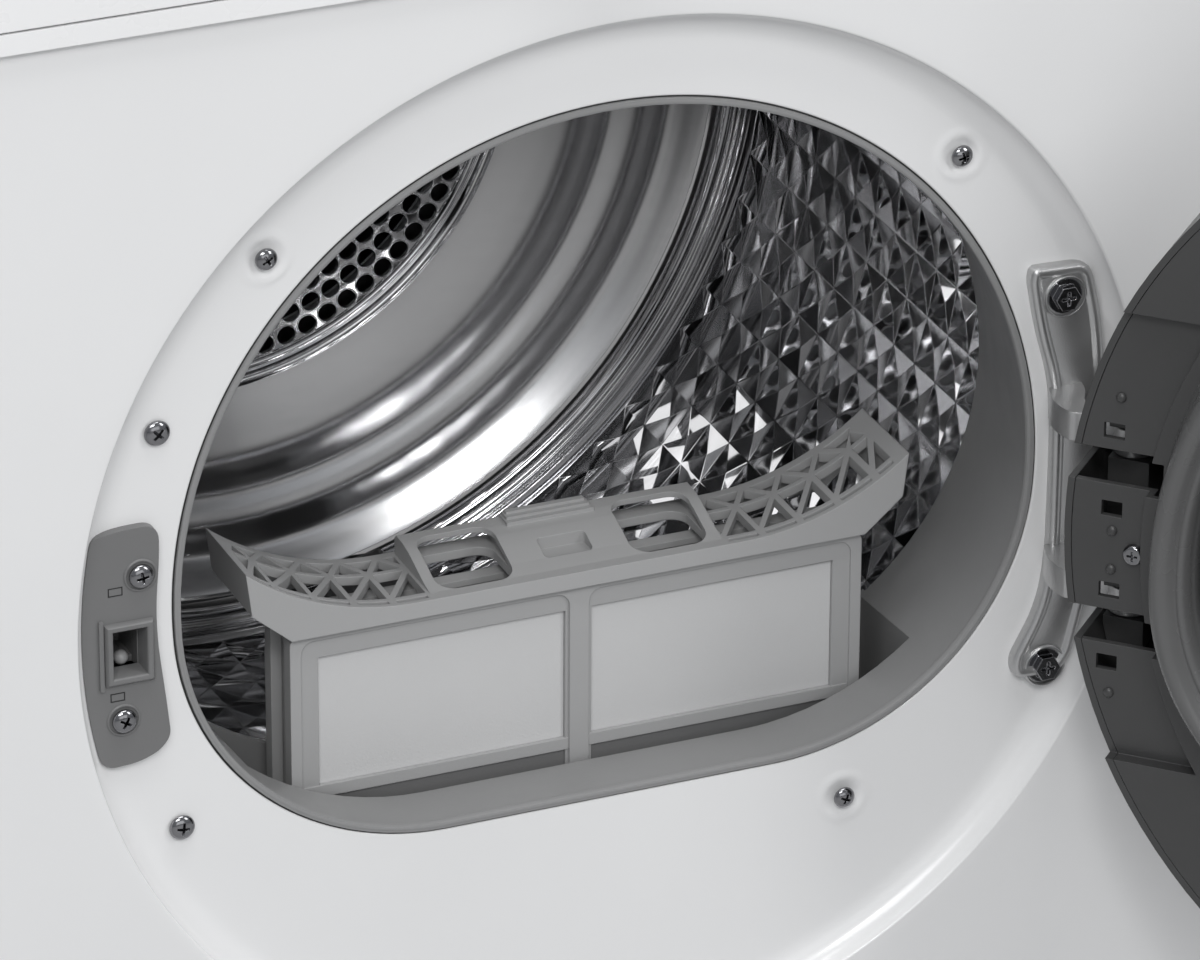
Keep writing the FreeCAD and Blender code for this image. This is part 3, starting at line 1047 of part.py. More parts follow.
# ================================================================ all the pieces
def pieces():
    yield "base_tray", base_tray()
    yield "side_panel_left", side_panel(-1)
    yield "side_panel_right", side_panel(1)
    yield "rear_panel", rear_panel()
    yield "front_panel", front_panel()
    yield "top_cover", top_cover()
    yield "control_fascia", control_fascia()
    yield "display_window", display_window()
    yield "program_knob", program_knob()
    yield "power_button", push_button(POWER_X, POWER_R)
    yield "start_button", push_button(START_X, START_R)
    yield "control_board", control_board()
    yield "tank_housing", tank_housing()
    yield "water_tank", water_tank()
    yield "access_flap", access_flap()
    for sx, across in ((-1, "left"), (1, "right")):
        for sy, along in ((-1, "front"), (1, "rear")):
            yield f"foot_{along}_{across}", foot(sx * FOOT_SPREAD, sy * FOOT_SPREAD)
    yield "front_duct_ring", front_duct_ring()
    yield "drum_seal", drum_seal()
    yield "drum_shell", drum_shell()
    yield "drum_back", drum_back()
    yield "drum_hub", drum_hub()
    yield "drum_shaft", drum_shaft()
    yield "drum_lifters", drum_lifters()
    yield "rear_bulkhead", rear_bulkhead()
    yield "shaft_bearing", shaft_bearing()
    for side, x, z in roller_places():
        yield "drum_roller_left" if side < 0 else "drum_roller_right", drum_roller(x, z)
    yield "drive_belt", drive_belt()
    yield "motor", motor()
    yield "motor_pulley", motor_pulley()
    yield "fan_wheel", fan_wheel()
    yield "fan_housing", fan_housing()
    yield "compressor", compressor()
    yield "evaporator", finned_block(-180, -55)
    yield "condenser", finned_block(-40, 50)
    yield "refrigerant_pipes", refrigerant_pipes()
    yield "drain_pump", drain_pump()
    yield "mains_inlet", mains_inlet()
    yield "hinge_bracket", hinge_bracket()
    yield "hinge_bolts", hinge_bolts()
    yield "panel_screws", panel_screws()
    yield "latch_plate", latch_plate()
    yield "latch_catch", latch_catch()
    yield "door_outer_ring", door_outer_ring()
    yield "door_inner_frame", door_inner_frame()
    yield "door_screws", door_screws()
    yield "door_bezel", door_bezel()
    yield "door_window", door_window()
    yield "door_outer_glass", door_outer_glass()
    yield "door_hinge_leaf", door_hinge_leaf()
    yield "hinge_pin", hinge_pin()
    yield "door_hook", door_hook()
    yield "door_handle", door_handle()
    yield "filter_head", filter_head()
    yield "filter_front_frame", filter_frame(LEAF_FRONT_Y, LEAF_FRONT_Y + LEAF_THICK)
    yield "filter_rear_frame", filter_frame(LEAF_REAR_Y, LEAF_REAR_Y + LEAF_THICK)
    yield "filter_mesh", filter_mesh()


os.makedirs("parts", exist_ok=True)
for name, shape in pieces():
    if not shape.isValid():
        raise ValueError(f"{name} is not a valid shape")
    shape.exportStep(f"parts/{name}.step")
    print(f"{name:20s} solids {len(shape.Solids):2d}  volume {shape.Volume / 1000:9.1f} cm3")
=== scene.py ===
"""The looks of the clothes dryer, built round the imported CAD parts. Lengths are written in millimetres."""

import math

import bmesh
import bpy
from mathutils import Matrix, Vector
from mathutils.geometry import tessellate_polygon
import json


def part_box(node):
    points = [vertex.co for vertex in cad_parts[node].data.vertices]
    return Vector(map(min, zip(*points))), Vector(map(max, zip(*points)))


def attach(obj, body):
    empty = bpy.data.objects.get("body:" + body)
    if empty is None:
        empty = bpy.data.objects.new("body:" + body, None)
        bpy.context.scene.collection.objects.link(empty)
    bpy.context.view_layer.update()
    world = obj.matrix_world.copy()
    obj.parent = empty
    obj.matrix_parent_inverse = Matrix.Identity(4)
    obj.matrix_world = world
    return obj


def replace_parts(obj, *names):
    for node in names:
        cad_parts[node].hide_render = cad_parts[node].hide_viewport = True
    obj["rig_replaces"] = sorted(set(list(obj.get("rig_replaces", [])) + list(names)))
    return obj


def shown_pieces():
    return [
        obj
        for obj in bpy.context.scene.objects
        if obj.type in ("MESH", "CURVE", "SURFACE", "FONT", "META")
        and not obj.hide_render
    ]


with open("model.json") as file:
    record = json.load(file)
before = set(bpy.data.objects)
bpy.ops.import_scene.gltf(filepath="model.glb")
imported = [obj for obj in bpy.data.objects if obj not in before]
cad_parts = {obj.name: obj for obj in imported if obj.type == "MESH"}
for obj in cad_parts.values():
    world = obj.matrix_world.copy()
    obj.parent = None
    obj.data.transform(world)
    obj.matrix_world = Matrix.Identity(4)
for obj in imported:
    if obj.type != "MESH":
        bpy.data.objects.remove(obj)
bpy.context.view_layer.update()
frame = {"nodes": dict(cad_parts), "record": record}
MM = 0.001
BODY_OF = {node: body for body, nodes in frame["record"]["behaviour"]["bodies"].items() for node in nodes}


def box_mm(node):
    """The low and high corners of a CAD node, in millimetres."""
    low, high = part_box(node)
    return low / MM, high / MM


# ---------------------------------------------------------------- places taken from the CAD parts
panel_low, panel_high = box_mm("front_panel")
drum_low, drum_high = box_mm("drum_shell")
pin_low, pin_high = box_mm("hinge_pin")
PIN_X, PIN_Y = (pin_low.x + pin_high.x) / 2, (pin_low.y + pin_high.y) / 2
FRONT = panel_low.y
RECESS_DEPTH = 12.0
SEAT = FRONT + RECESS_DEPTH
HALF = panel_high.x
FASCIA_BOTTOM = panel_high.z
PANEL_FOOT = panel_low.z
DRUM_Z = (drum_low.z + drum_high.z) / 2
DRUM_OUTER = (drum_high.x - drum_low.x) / 2
SHEET = 1.5
DRUM_R = DRUM_OUTER - SHEET
DRUM_FRONT, DRUM_REAR = drum_low.y, drum_high.y
# the opening sits a little below the drum's axis, and the recess round it a little lower again
OPENING_DROP = RECESS_DROP = 5.0
CENTRE_Z = DRUM_Z - OPENING_DROP
RECESS_Z = CENTRE_Z - RECESS_DROP
OPENING_R, OPENING_CORNER_R, OPENING_FLAT = 195.0, 120.0, -125.0


# ================================================================ materials
CLOUD_SCALE, PATCH_SCALE, LEAST_ROUGH = 9.0, 45.0, 0.02


def tune(node, **values):
    """Set a shader node's inputs by name, with _ for every blank."""
    for key, value in values.items():
        node.inputs[key.replace("_", " ")].default_value = value
    return node


def look(name, colour, rough, metal=0.0, mottle=0.06, spread=0.06, grain=0.00004, grain_scale=900.0,
         rounding=0.0005, wear=0.12, stretch=(1, 1, 1), extra=None):
    """A procedural finish: mottled colour, uneven gloss, fine grain, rounded and slightly worn edges."""
    material = bpy.data.materials.new(name)
    material.use_nodes = True
    tree = material.node_tree
    nodes, links = tree.nodes, tree.links
    nodes.clear()
    output = nodes.new("ShaderNodeOutputMaterial")
    surface = nodes.new("ShaderNodeBsdfPrincipled")
    surface.inputs["Metallic"].default_value = metal
    for key, value in (extra or {}).items():
        surface.inputs[key].default_value = value
    links.new(surface.outputs["BSDF"], output.inputs["Surface"])
    where = nodes.new("ShaderNodeTexCoord")
    mapping = nodes.new("ShaderNodeMapping")
    mapping.inputs["Scale"].default_value = stretch
    links.new(where.outputs["Object"], mapping.inputs["Vector"])

    def noise(scale, detail, vector):
        node = tune(nodes.new("ShaderNodeTexNoise"), Scale=scale, Detail=detail)
        links.new(vector, node.inputs["Vector"])
        return node.outputs["Fac"]

    def spread_over(value, low, high):
        node = nodes.new("ShaderNodeMapRange")
        tune(node, From_Min=0.3, From_Max=0.7, To_Min=low, To_Max=high)
        links.new(value, node.inputs["Value"])
        return node.outputs["Result"]

    clouds = noise(CLOUD_SCALE, 4.0, where.outputs["Object"])
    fine = noise(grain_scale, 2.0, mapping.outputs["Vector"])
    patches = noise(PATCH_SCALE, 3.0, mapping.outputs["Vector"])
    tint = nodes.new("ShaderNodeMix")
    tint.data_type = "RGBA"
    tint.inputs["A"].default_value = (*[c * (1 - mottle) for c in colour], 1)
    tint.inputs["B"].default_value = (*[min(1, c * (1 + mottle)) for c in colour], 1)
    links.new(spread_over(clouds, 0, 1), tint.inputs["Factor"])
    edge = tune(nodes.new("ShaderNodeBevel"), Radius=rounding)
    edge.samples = 4
    facing = nodes.new("ShaderNodeNewGeometry")
    dot = nodes.new("ShaderNodeVectorMath")
    dot.operation = "DOT_PRODUCT"
    links.new(edge.outputs["Normal"], dot.inputs[0])
    links.new(facing.outputs["Normal"], dot.inputs[1])
    rubbed = nodes.new("ShaderNodeMapRange")
    tune(rubbed, From_Min=0.98, From_Max=0.75, To_Min=0.0, To_Max=wear)
    links.new(dot.outputs["Value"], rubbed.inputs["Value"])
    worn = nodes.new("ShaderNodeMix")
    worn.data_type = "RGBA"
    links.new(rubbed.outputs["Result"], worn.inputs["Factor"])
    links.new(tint.outputs["Result"], worn.inputs["A"])
    worn.inputs["B"].default_value = (*[min(1, c * 1.6 + 0.08) for c in colour], 1)
    links.new(worn.outputs["Result"], surface.inputs["Base Color"])
    gloss = spread_over(patches, max(LEAST_ROUGH, rough - spread), min(1, rough + spread))
    links.new(gloss, surface.inputs["Roughness"])
    bump = tune(nodes.new("ShaderNodeBump"), Strength=1.0, Distance=grain)
    links.new(fine, bump.inputs["Height"])
    links.new(edge.outputs["Normal"], bump.inputs["Normal"])
    links.new(bump.outputs["Normal"], surface.inputs["Normal"])
    return material


def grey(level):
    """A neutral colour from a 0-255 screen level."""
    value = level / 255
    linear = value / 12.92 if value <= 0.04045 else ((value + 0.055) / 1.055) ** 2.4
    return (linear, linear, linear)


PAINT = {"Coat Weight": 0.25, "Coat Roughness": 0.08}
LOOKS = {
    "white_paint": look("white_paint", grey(228), 0.24, mottle=0.012, spread=0.03, grain=0.00002,
                        grain_scale=420.0, rounding=0.0008, wear=0.0, extra=PAINT),
    "white_laminate": look("white_laminate", grey(212), 0.34, mottle=0.02, grain=0.00004, extra=PAINT),
    "white_plastic": look("white_plastic", grey(234), 0.3, mottle=0.015, grain=0.00003, wear=0.0),
    "grey_plastic": look("grey_plastic", grey(176), 0.42, mottle=0.04, grain=0.00005, rounding=0.0006,
                         wear=0.15),
    "duct_plastic": look("duct_plastic", grey(136), 0.4, mottle=0.03, grain=0.00005, rounding=0.0006,
                         wear=0.15),
    "dark_plastic": look("dark_plastic", grey(62), 0.5),
    "charcoal_plastic": look("charcoal_plastic", grey(66), 0.36, mottle=0.04, grain=0.00006, wear=0.12),
    "latch_plastic": look("latch_plastic", grey(112), 0.4, mottle=0.04, grain=0.00005, wear=0.2),
    "bezel_plastic": look("bezel_plastic", grey(92), 0.26, mottle=0.03, grain=0.00003, wear=0.1),
    "filter_plastic": look("filter_plastic", grey(162), 0.36, mottle=0.025, grain=0.00004,
                           rounding=0.0006, wear=0.1),
    "filter_screen": look("filter_screen", grey(196), 0.7, mottle=0.03, grain=0.0001, wear=0.0),
    "drum_steel": look("drum_steel", (0.84, 0.84, 0.85), 0.055, metal=1.0, mottle=0.03, spread=0.03,
                       grain=0.000004, rounding=0.0003, wear=0.0),
    "zinc_steel": look("zinc_steel", (0.45, 0.46, 0.47), 0.38, metal=1.0, mottle=0.15, wear=0.1),
    "screw_steel": look("screw_steel", (0.27, 0.27, 0.28), 0.13, metal=1.0, mottle=0.08, rounding=0.0003),
    "knob_metal": look("knob_metal", (0.6, 0.6, 0.61), 0.28, metal=1.0, mottle=0.04),
    "cast_metal": look("cast_metal", (0.5, 0.5, 0.5), 0.34, metal=0.85, mottle=0.06, grain=0.00008,
                       grain_scale=1400.0, wear=0.1),
    "black_glass": look("black_glass", grey(16), 0.06, mottle=0.05, spread=0.02, grain=0.000005, wear=0.0),
    "black_rubber": look("black_rubber", grey(34), 0.7, grain=0.0001),
    "black_paint": look("black_paint", grey(28), 0.45, mottle=0.1),
    "felt": look("felt", grey(104), 0.95, grain=0.0004, grain_scale=700.0, wear=0.0),
    "aluminium_fin": look("aluminium_fin", (0.7, 0.7, 0.71), 0.35, metal=1.0),
    "copper": look("copper", (0.72, 0.36, 0.22), 0.3, metal=1.0),
    "circuit_board": look("circuit_board", (0.03, 0.16, 0.07), 0.5),
}
# the drum's rear wall and its pressed sides are the same sheet, finished duller and more polished; the
# pressed sides' copy is also darker in colour, painted shade that darkens their reflections
SATIN_STEEL = look("drum_steel_satin", (0.8, 0.8, 0.81), 0.22, metal=1.0, mottle=0.04, spread=0.015,
                   grain=0.0000002, grain_scale=160.0, rounding=0.0003, wear=0.0, stretch=(1, 1, 5))
SHADED_POLISHED_STEEL = look("drum_steel_polished_shaded", (0.5, 0.5, 0.51), 0.035, metal=1.0, mottle=0.03, spread=0.015,
                    grain=0.0000006, grain_scale=400.0, rounding=0.0002, wear=0.0)
SLOT_OF = {}
for entry in frame["record"]["subparts"]:
    SLOT_OF[entry["node"]] = entry.get("material_slot") or entry.get("slot")


# ================================================================ mesh helpers
# metres within which two CAD points are one, and degrees within which two CAD faces are one
WELD, FLAT_DEGREES = 0.000012, 0.6


def sharpen(mesh, degrees):
    """Smooth shading that breaks at edges steeper than this."""
    build = bmesh.new()
    build.from_mesh(mesh)
    for face in build.faces:
        face.smooth = True
    for edge in build.edges:
        between = len(edge.link_faces) == 2
        edge.smooth = between and edge.calc_face_angle(0.0) < math.radians(degrees)
    build.to_mesh(mesh)
    build.free()


def piece(name, points, faces, slot, body, degrees=40.0, stands_for=(), outward=True):
    """A mesh object from points in millimetres, riding on a CAD body."""
    mesh = bpy.data.meshes.new(name)
    mesh.from_pydata([tuple(c * MM for c in p) for p in points], [], faces)
    mesh.validate()
    if outward:
        build = bmesh.new()
        build.from_mesh(mesh)
        bmesh.ops.recalc_face_normals(build, faces=build.faces)
        build.to_mesh(mesh)
        build.free()
    sharpen(mesh, degrees)
    thing = bpy.data.objects.new(name, mesh)
    bpy.context.scene.collection.objects.link(thing)
    thing.data.materials.append(LOOKS[slot])
    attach(thing, body)
    if stands_for:
        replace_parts(thing, *stands_for)
    return thing


def lathe(profile, x, z, steps, closed=True):
    """Points and faces of a (radius, y) profile turned about the Y axis through (x, z)."""
    points, faces = [], []
    count = len(profile)
    for step in range(steps):
        turn = 2 * math.pi * step / steps
        c, s = math.cos(turn), math.sin(turn)
        points += [(x + r * c, y, z + r * s) for r, y in profile]
    last = count if closed else count - 1
    for step in range(steps):
        a, b = step * count, (step + 1) % steps * count
        for k in range(last):
            n = (k + 1) % count
            faces.append((a + k, b + k, b + n, a + n))
    return points, faces


def softened(node, width, segments=2, degrees=32.0, shade=32.0):
    """The CAD node's own shape with every edge rounded, standing for the node."""
    build = bmesh.new()
    build.from_mesh(frame["nodes"][node].data)
    bmesh.ops.remove_doubles(build, verts=build.verts, dist=WELD)
    flat = math.radians(FLAT_DEGREES)
    bmesh.ops.dissolve_limit(build, angle_limit=flat, verts=build.verts, edges=build.edges)
    build.verts.ensure_lookup_table()
    for index, vertex in enumerate(build.verts):
        vertex.index = index
    points = [tuple(v.co / MM) for v in build.verts]
    faces = [[v.index for v in face.verts] for face in build.faces]
    build.free()
    slot = SLOT_OF[node]
    thing = piece(node + "_look", points, faces, slot, BODY_OF[node], shade, (node,), outward=False)
    bevel = thing.modifiers.new("rounded", "BEVEL")
    bevel.width = width * MM
    bevel.segments = segments
    bevel.limit_method = "ANGLE"
    bevel.angle_limit = math.radians(degrees)
    bevel.use_clamp_overlap = True
    bevel.harden_normals = True
    bevel.miter_outer = "MITER_ARC"
    return thing


def rounded_edges(thing, width, segments=3, degrees=30.0):
    """The same object with a bevel on every edge sharper than this."""
    bevel = thing.modifiers.new("rounded", "BEVEL")
    bevel.width = width * MM
    bevel.segments = segments
    bevel.limit_method = "ANGLE"
    bevel.angle_limit = math.radians(degrees)
    bevel.harden_normals = True
    return thing


def rounded(points, radii, steps=7):
    """A closed outline with every corner turned into a curve of about its own radius."""
    line = []
    for k, point in enumerate(points):
        here, before = Vector(point), Vector(points[k - 1])
        after = Vector(points[(k + 1) % len(points)])
        back, on = before - here, after - here
        cut = min(radii[k], back.length * 0.48, on.length * 0.48)
        a, b = here + back.normalized() * cut, here + on.normalized() * cut
        for step in range(steps + 1):
            t = step / steps
            line.append(tuple(a * (1 - t) ** 2 + here * 2 * t * (1 - t) + b * t * t))
    return line


def slab(name, loops, low, high, slot, body, edge, axis="y", degrees=35.0, stands_for=()):
    """A flat piece from an outline and its holes, between two places on an axis, with rounded edges."""
    flat = [p for loop in loops for p in loop]
    count = len(flat)
    triangles = tessellate_polygon([[Vector((a, b, 0)) for a, b in loop] for loop in loops])
    place = (lambda a, b, t: (a, t, b)) if axis == "y" else (lambda a, b, t: (a, b, t))
    points = [place(a, b, t) for t in (low, high) for a, b in flat]
    faces = [tuple(t) for t in triangles] + [tuple(k + count for k in reversed(t)) for t in triangles]
    base = 0
    for loop in loops:
        size = len(loop)
        for k in range(size):
            a, b = base + k, base + (k + 1) % size
            faces.append((a, b, b + count, a + count))
        base += size
    return rounded_edges(piece(name, points, faces, slot, body, degrees, stands_for), edge)


def boxed_ring(name, low, high, section, slot, body, degrees=50.0):
    """A closed (outset, y) section carried round a rectangle from low to high (x, z), mitred."""
    points, faces = [], []
    count = len(section)
    for sx, sz in ((0, 0), (1, 0), (1, 1), (0, 1)):
        for out, y in section:
            x = high[0] + out if sx else low[0] - out
            z = high[1] + out if sz else low[1] - out
            points.append((x, y, z))
    for corner in range(4):
        a, b = corner * count, (corner + 1) % 4 * count
        faces += [(a + k, b + k, b + (k + 1) % count, a + (k + 1) % count) for k in range(count)]
    return piece(name, points, faces, slot, body, degrees)


def rimmed(name, outline, steps, slot, body, degrees=50.0, stands_for=()):
    """A plate whose edge follows (inset, y) steps inwards from its outline, with its face closed."""
    count = len(outline)
    normals = []
    for k in range(count):
        along = Vector(outline[(k + 1) % count]) - Vector(outline[k - 1])
        normals.append(Vector((-along.y, along.x)).normalized())
    area = sum(outline[k - 1][0] * outline[k][1] - outline[k][0] * outline[k - 1][1]
               for k in range(count))
    turned = 1 if area > 0 else -1
    points, faces = [], []
    for inset, y in steps:
        points += [(a + n.x * inset * turned, y, b + n.y * inset * turned)
                   for (a, b), n in zip(outline, normals)]
    for row in range(len(steps) - 1):
        for k in range(count):
            a, b = row * count + k, row * count + (k + 1) % count
            faces.append((a, b, b + count, a + count))
    last = len(points) - count
    flat = [Vector((p[0], p[2], 0)) for p in points[last:]]
    faces += [tuple(last + k for k in triangle) for triangle in tessellate_polygon([flat])]
    return piece(name, points, faces, slot, body, degrees, stands_for)


def parts_of(node):
    """The low and high corners, in millimetres, of every separate part of a CAD node."""
    build = bmesh.new()
    build.from_mesh(frame["nodes"][node].data)
    bmesh.ops.remove_doubles(build, verts=build.verts, dist=0.00001)
    left, found = set(build.verts), []
    while left:
        group = [left.pop()]
        for vertex in group:
            near = [edge.other_vert(vertex) for edge in vertex.link_edges]
            group += [other for other in near if other in left]
            left.difference_update(near)
        axes = list(zip(*[v.co / MM for v in group]))
        found.append((Vector([min(a) for a in axes]), Vector([max(a) for a in axes])))
    build.free()
    return sorted(found, key=lambda pair: (round(pair[0].x), round(pair[0].z)))


def sweep_outline(name, section, slot, body, steps=360, stands_for=(), degrees=40.0, place=None):
    """A closed (inset, y) section carried round the door opening's outline."""
    points, faces = [], []
    count = len(section)
    for step in range(steps):
        turn = 2 * math.pi * step / steps
        for inset, y in section:
            reach = opening_reach(turn, inset)
            point = (reach * math.cos(turn), y, CENTRE_Z + reach * math.sin(turn))
            points.append(place(point) if place else point)
    for step in range(steps):
        a, b = step * count, (step + 1) % steps * count
        for k in range(count):
            n = (k + 1) % count
            faces.append((a + k, b + k, b + n, a + n))
    return piece(name, points, faces, slot, body, degrees, stands_for)


def smoothstep(value):
    """A smooth rise from 0 to 1."""
    value = max(0.0, min(1.0, value))
    return value * value * (3 - 2 * value)


# ================================================================ opening outline
def opening_reach(turn, inset=0.0):
    """Distance from the opening's centre to its outline in the direction of this angle."""
    radius, corner, flat = OPENING_R, OPENING_CORNER_R, OPENING_FLAT
    corner_z = flat + corner
    corner_x = math.sqrt((radius - corner) ** 2 - corner_z ** 2)
    dx, dz = abs(math.cos(turn)), math.sin(turn)
    angle = math.atan2(dz, dx)
    if angle >= math.atan2(corner_z, corner_x):
        return radius - inset
    if angle <= math.atan2(flat + inset, corner_x):
        return (flat + inset) / dz
    along = dx * corner_x + dz * corner_z
    small = corner - inset
    return along + math.sqrt(along * along - corner_x ** 2 - corner_z ** 2 + small * small)


def circle_reach(turn, radius):
    """The same distance to a circle round the centre of the recess."""
    drop = RECESS_Z - CENTRE_Z
    along = math.sin(turn) * drop
    return along + math.sqrt(along * along - drop * drop + radius * radius)


def frame_reach(turn, low, high, half):
    """The same distance to a rectangle."""
    dx, dz = abs(math.cos(turn)), math.sin(turn)
    side = half / dx if dx > 1e-9 else 1e9
    end = high / dz if dz > 1e-9 else (low / dz if dz < -1e-9 else 1e9)
    return min(side, end)


# ================================================================ front panel
# places of the dimples the panel's screws sit in, from the opening's centre
DIMPLED = ((-152.3, 151.8), (156.3, 145.0), (108.1, -147.3))
RECESS_R, RECESS_MOUTH_R, RECESS_EDGE = 225.5, 239.6, 1.1
PANEL_STEPS, FLOOR_RINGS, MOUTH_EDGE, BELOW_DOOR = 720, 44, 0.8, 215.0


def panel_depth(x, z):
    """How far back the panel's face lies at a place given from the opening's centre."""
    out = math.hypot(x, z - (RECESS_Z - CENTRE_Z))
    if out >= RECESS_MOUTH_R:
        past = min(1.0, (out - RECESS_MOUTH_R) / RECESS_EDGE)
        y = FRONT + RECESS_EDGE * (1 - math.sqrt(1 - (1 - past) ** 2))
    else:
        share = max(0.0, (out - RECESS_R) / (RECESS_MOUTH_R - RECESS_R))
        y = SEAT + (FRONT + RECESS_EDGE - SEAT) * (1 - math.sqrt(1 - share * share))
    for sx, sz in DIMPLED:
        away = math.hypot(x - sx, z - sz)
        if away < 16:
            y += 1.3 * (1 - smoothstep((away - 5.2) / 3.2))
            y -= 0.5 * math.exp(-((away - 10.2) / 1.5) ** 2)
    return y


def front_panel():
    """The painted sheet: the opening's rounded edge, the recess with its cove, and the access hole."""
    edge = (0.0, 0.1, 0.25, 0.5, MOUTH_EDGE)
    cove = [RECESS_R + (RECESS_MOUTH_R - RECESS_R) * math.sin(math.pi / 2 * k / 12)
            for k in range(1, 13)]
    cove += [RECESS_MOUTH_R + RECESS_EDGE * k / 4 for k in (0.4, 1, 2, 3, 4)] + [246.0]
    catch_low, catch_high = box_mm("latch_catch")
    catch_x = (catch_low.x + catch_high.x) / 2
    rings = []
    for turn in [2 * math.pi * k / PANEL_STEPS for k in range(PANEL_STEPS)]:
        dx, dz = math.cos(turn), math.sin(turn)
        inner = opening_reach(turn)
        floor = circle_reach(turn, RECESS_R)
        rim = frame_reach(turn, BELOW_DOOR - CENTRE_Z, FASCIA_BOTTOM - CENTRE_Z, HALF)
        reaches = [inner + e for e in edge]
        reaches += [inner + MOUTH_EDGE + (floor - inner - MOUTH_EDGE) * (k + 1) / FLOOR_RINGS
                    for k in range(FLOOR_RINGS)]
        reaches += [circle_reach(turn, r) for r in cove]
        reaches += [reaches[-1] + (rim - reaches[-1]) * k / 3 for k in (1, 2, 3)]
        column = []
        for k, reach in enumerate(reaches):
            y = panel_depth(reach * dx, reach * dz)
            if k < len(edge):
                y += MOUTH_EDGE - math.sqrt(max(0.0, MOUTH_EDGE ** 2 - (MOUTH_EDGE - edge[k]) ** 2))
            column.append((reach * dx, y, CENTRE_Z + reach * dz))
        rings.append(column)
    points = [p for column in rings for p in column]
    count = len(rings[0])
    faces = []
    for step in range(PANEL_STEPS):
        a, b = step * count, (step + 1) % PANEL_STEPS * count
        for k in range(count - 1):
            x, z = points[a + k][0], points[a + k][2]
            if abs(x - catch_x) > 9.5 or not catch_low.z - 1 < z < catch_low.z + 24:
                faces.append((a + k, a + k + 1, b + k + 1, b + k))
    flap_low, flap_high = box_mm("access_flap")
    xs = (-HALF, flap_low.x + 6.0, flap_high.x - 6.0, HALF)
    zs = (PANEL_FOOT, flap_low.z - 3.5, flap_high.z + 1.0, BELOW_DOOR)
    base = len(points)
    points += [(x, FRONT, z) for z in zs for x in xs]
    for row in range(3):
        for column in range(3):
            if (row, column) != (1, 1):
                k = base + row * 4 + column
                faces.append((k, k + 1, k + 5, k + 4))
    thing = piece("front_panel_look", points, faces, "white_paint", "cabinet", 60, ("front_panel",),
                  outward=False)
    thick = thing.modifiers.new("sheet", "SOLIDIFY")
    thick.thickness = SHEET * MM
    thick.offset = -1.0


front_panel()


def throat_lip():
    """The rounded front edge of the plastic throat, with a dark gap between it and the panel; a black strip
    just behind the gap is painted shade that keeps it dark.
    """
    section = [(1.1, SEAT + 2.2), (1.1, SEAT + 0.2), (1.4, SEAT - 0.35), (2.0, SEAT - 0.6), (3.0, SEAT - 0.6),
               (3.5, SEAT - 0.3), (3.8, SEAT + 0.4), (3.85, SEAT + 2.5), (2.4, SEAT + 2.8)]
    sweep_outline("throat_lip", section, "duct_plastic", "cabinet")
    # painted shade: a black strip behind the gap between the panel and the lip, where there is only shade
    gap_shade = [(-2.0, SEAT + 1.65), (0.2, SEAT + 0.55), (1.2, SEAT + 0.45), (1.2, SEAT + 1.9),
            (-2.0, SEAT + 2.2)]
    sweep_outline("throat_gap_shade", gap_shade, "black_rubber", "cabinet")


throat_lip()


# ================================================================ screws and latch
SCREW_STEPS, RING_STEPS = 48, 64
MOUTH_HALF, MOUTH_HIGH, PLATE_RISE = 7.8, 22.2, 4.0
BALL_R, BALL_IN, BALL_UP = 3.1, 6.5, 3.6


def domed_screws(node, name, body, rise):
    """Every cross-head screw of a node: a polished dome with a tapered cross pressed into it."""
    heads, crosses, count = ([], []), ([], []), 0
    for low, high in parts_of(node):
        x, z, r = (low.x + high.x) / 2, (low.z + high.z) / 2, (high.x - low.x) / 2
        seat = low.y + 2.0
        profile = [(r - 0.1, seat + 0.1), (r, seat - 0.15)]
        profile += [(r * math.sin(math.radians(a)), seat - 0.2 - (2.0 + rise) * math.cos(math.radians(a)))
                    for a in range(84, 0, -6)]
        points, faces = lathe(profile, x, z, SCREW_STEPS, closed=False)
        base = len(heads[0])
        heads[0].extend(points + [(x, seat - 2.2 - rise, z)])
        heads[1].extend(tuple(base + k for k in face) for face in faces)
        last, size = len(profile) - 1, len(profile)
        tip = base + len(points)
        heads[1].extend((base + k * size + last, base + (k + 1) % SCREW_STEPS * size + last, tip)
                        for k in range(SCREW_STEPS))
        count += 1
        spin = math.radians(25 + 37 * count)
        for quarter in (0, 1):
            turn = spin + quarter * math.pi / 2
            start = len(crosses[0])
            for along, wide, y in ((0.62, 0.13, seat - 2.5 - rise), (0.3, 0.05, seat - 1.0)):
                for u, v in ((-along, -wide), (along, -wide), (along, wide), (-along, wide)):
                    crosses[0].append((x + r * (u * math.cos(turn) - v * math.sin(turn)), y,
                                       z + r * (u * math.sin(turn) + v * math.cos(turn))))
            crosses[1].extend(tuple(start + k for k in f) for f in (
                (0, 1, 2, 3), (7, 6, 5, 4), (0, 4, 5, 1), (1, 5, 6, 2), (2, 6, 7, 3), (3, 7, 4, 0)))
    thing = piece(name, *heads, "screw_steel", body, 40, (node,))
    tool = piece(name + "_tool", *crosses, "screw_steel", body, 40)
    cut = thing.modifiers.new("cross", "BOOLEAN")
    cut.object = tool
    cut.use_self = True
    bpy.context.view_layer.update()
    baked = bpy.data.meshes.new_from_object(thing.evaluated_get(bpy.context.evaluated_depsgraph_get()))
    thing.modifiers.clear()
    thing.data = baked
    sharpen(baked, 35)
    bpy.data.objects.remove(tool)


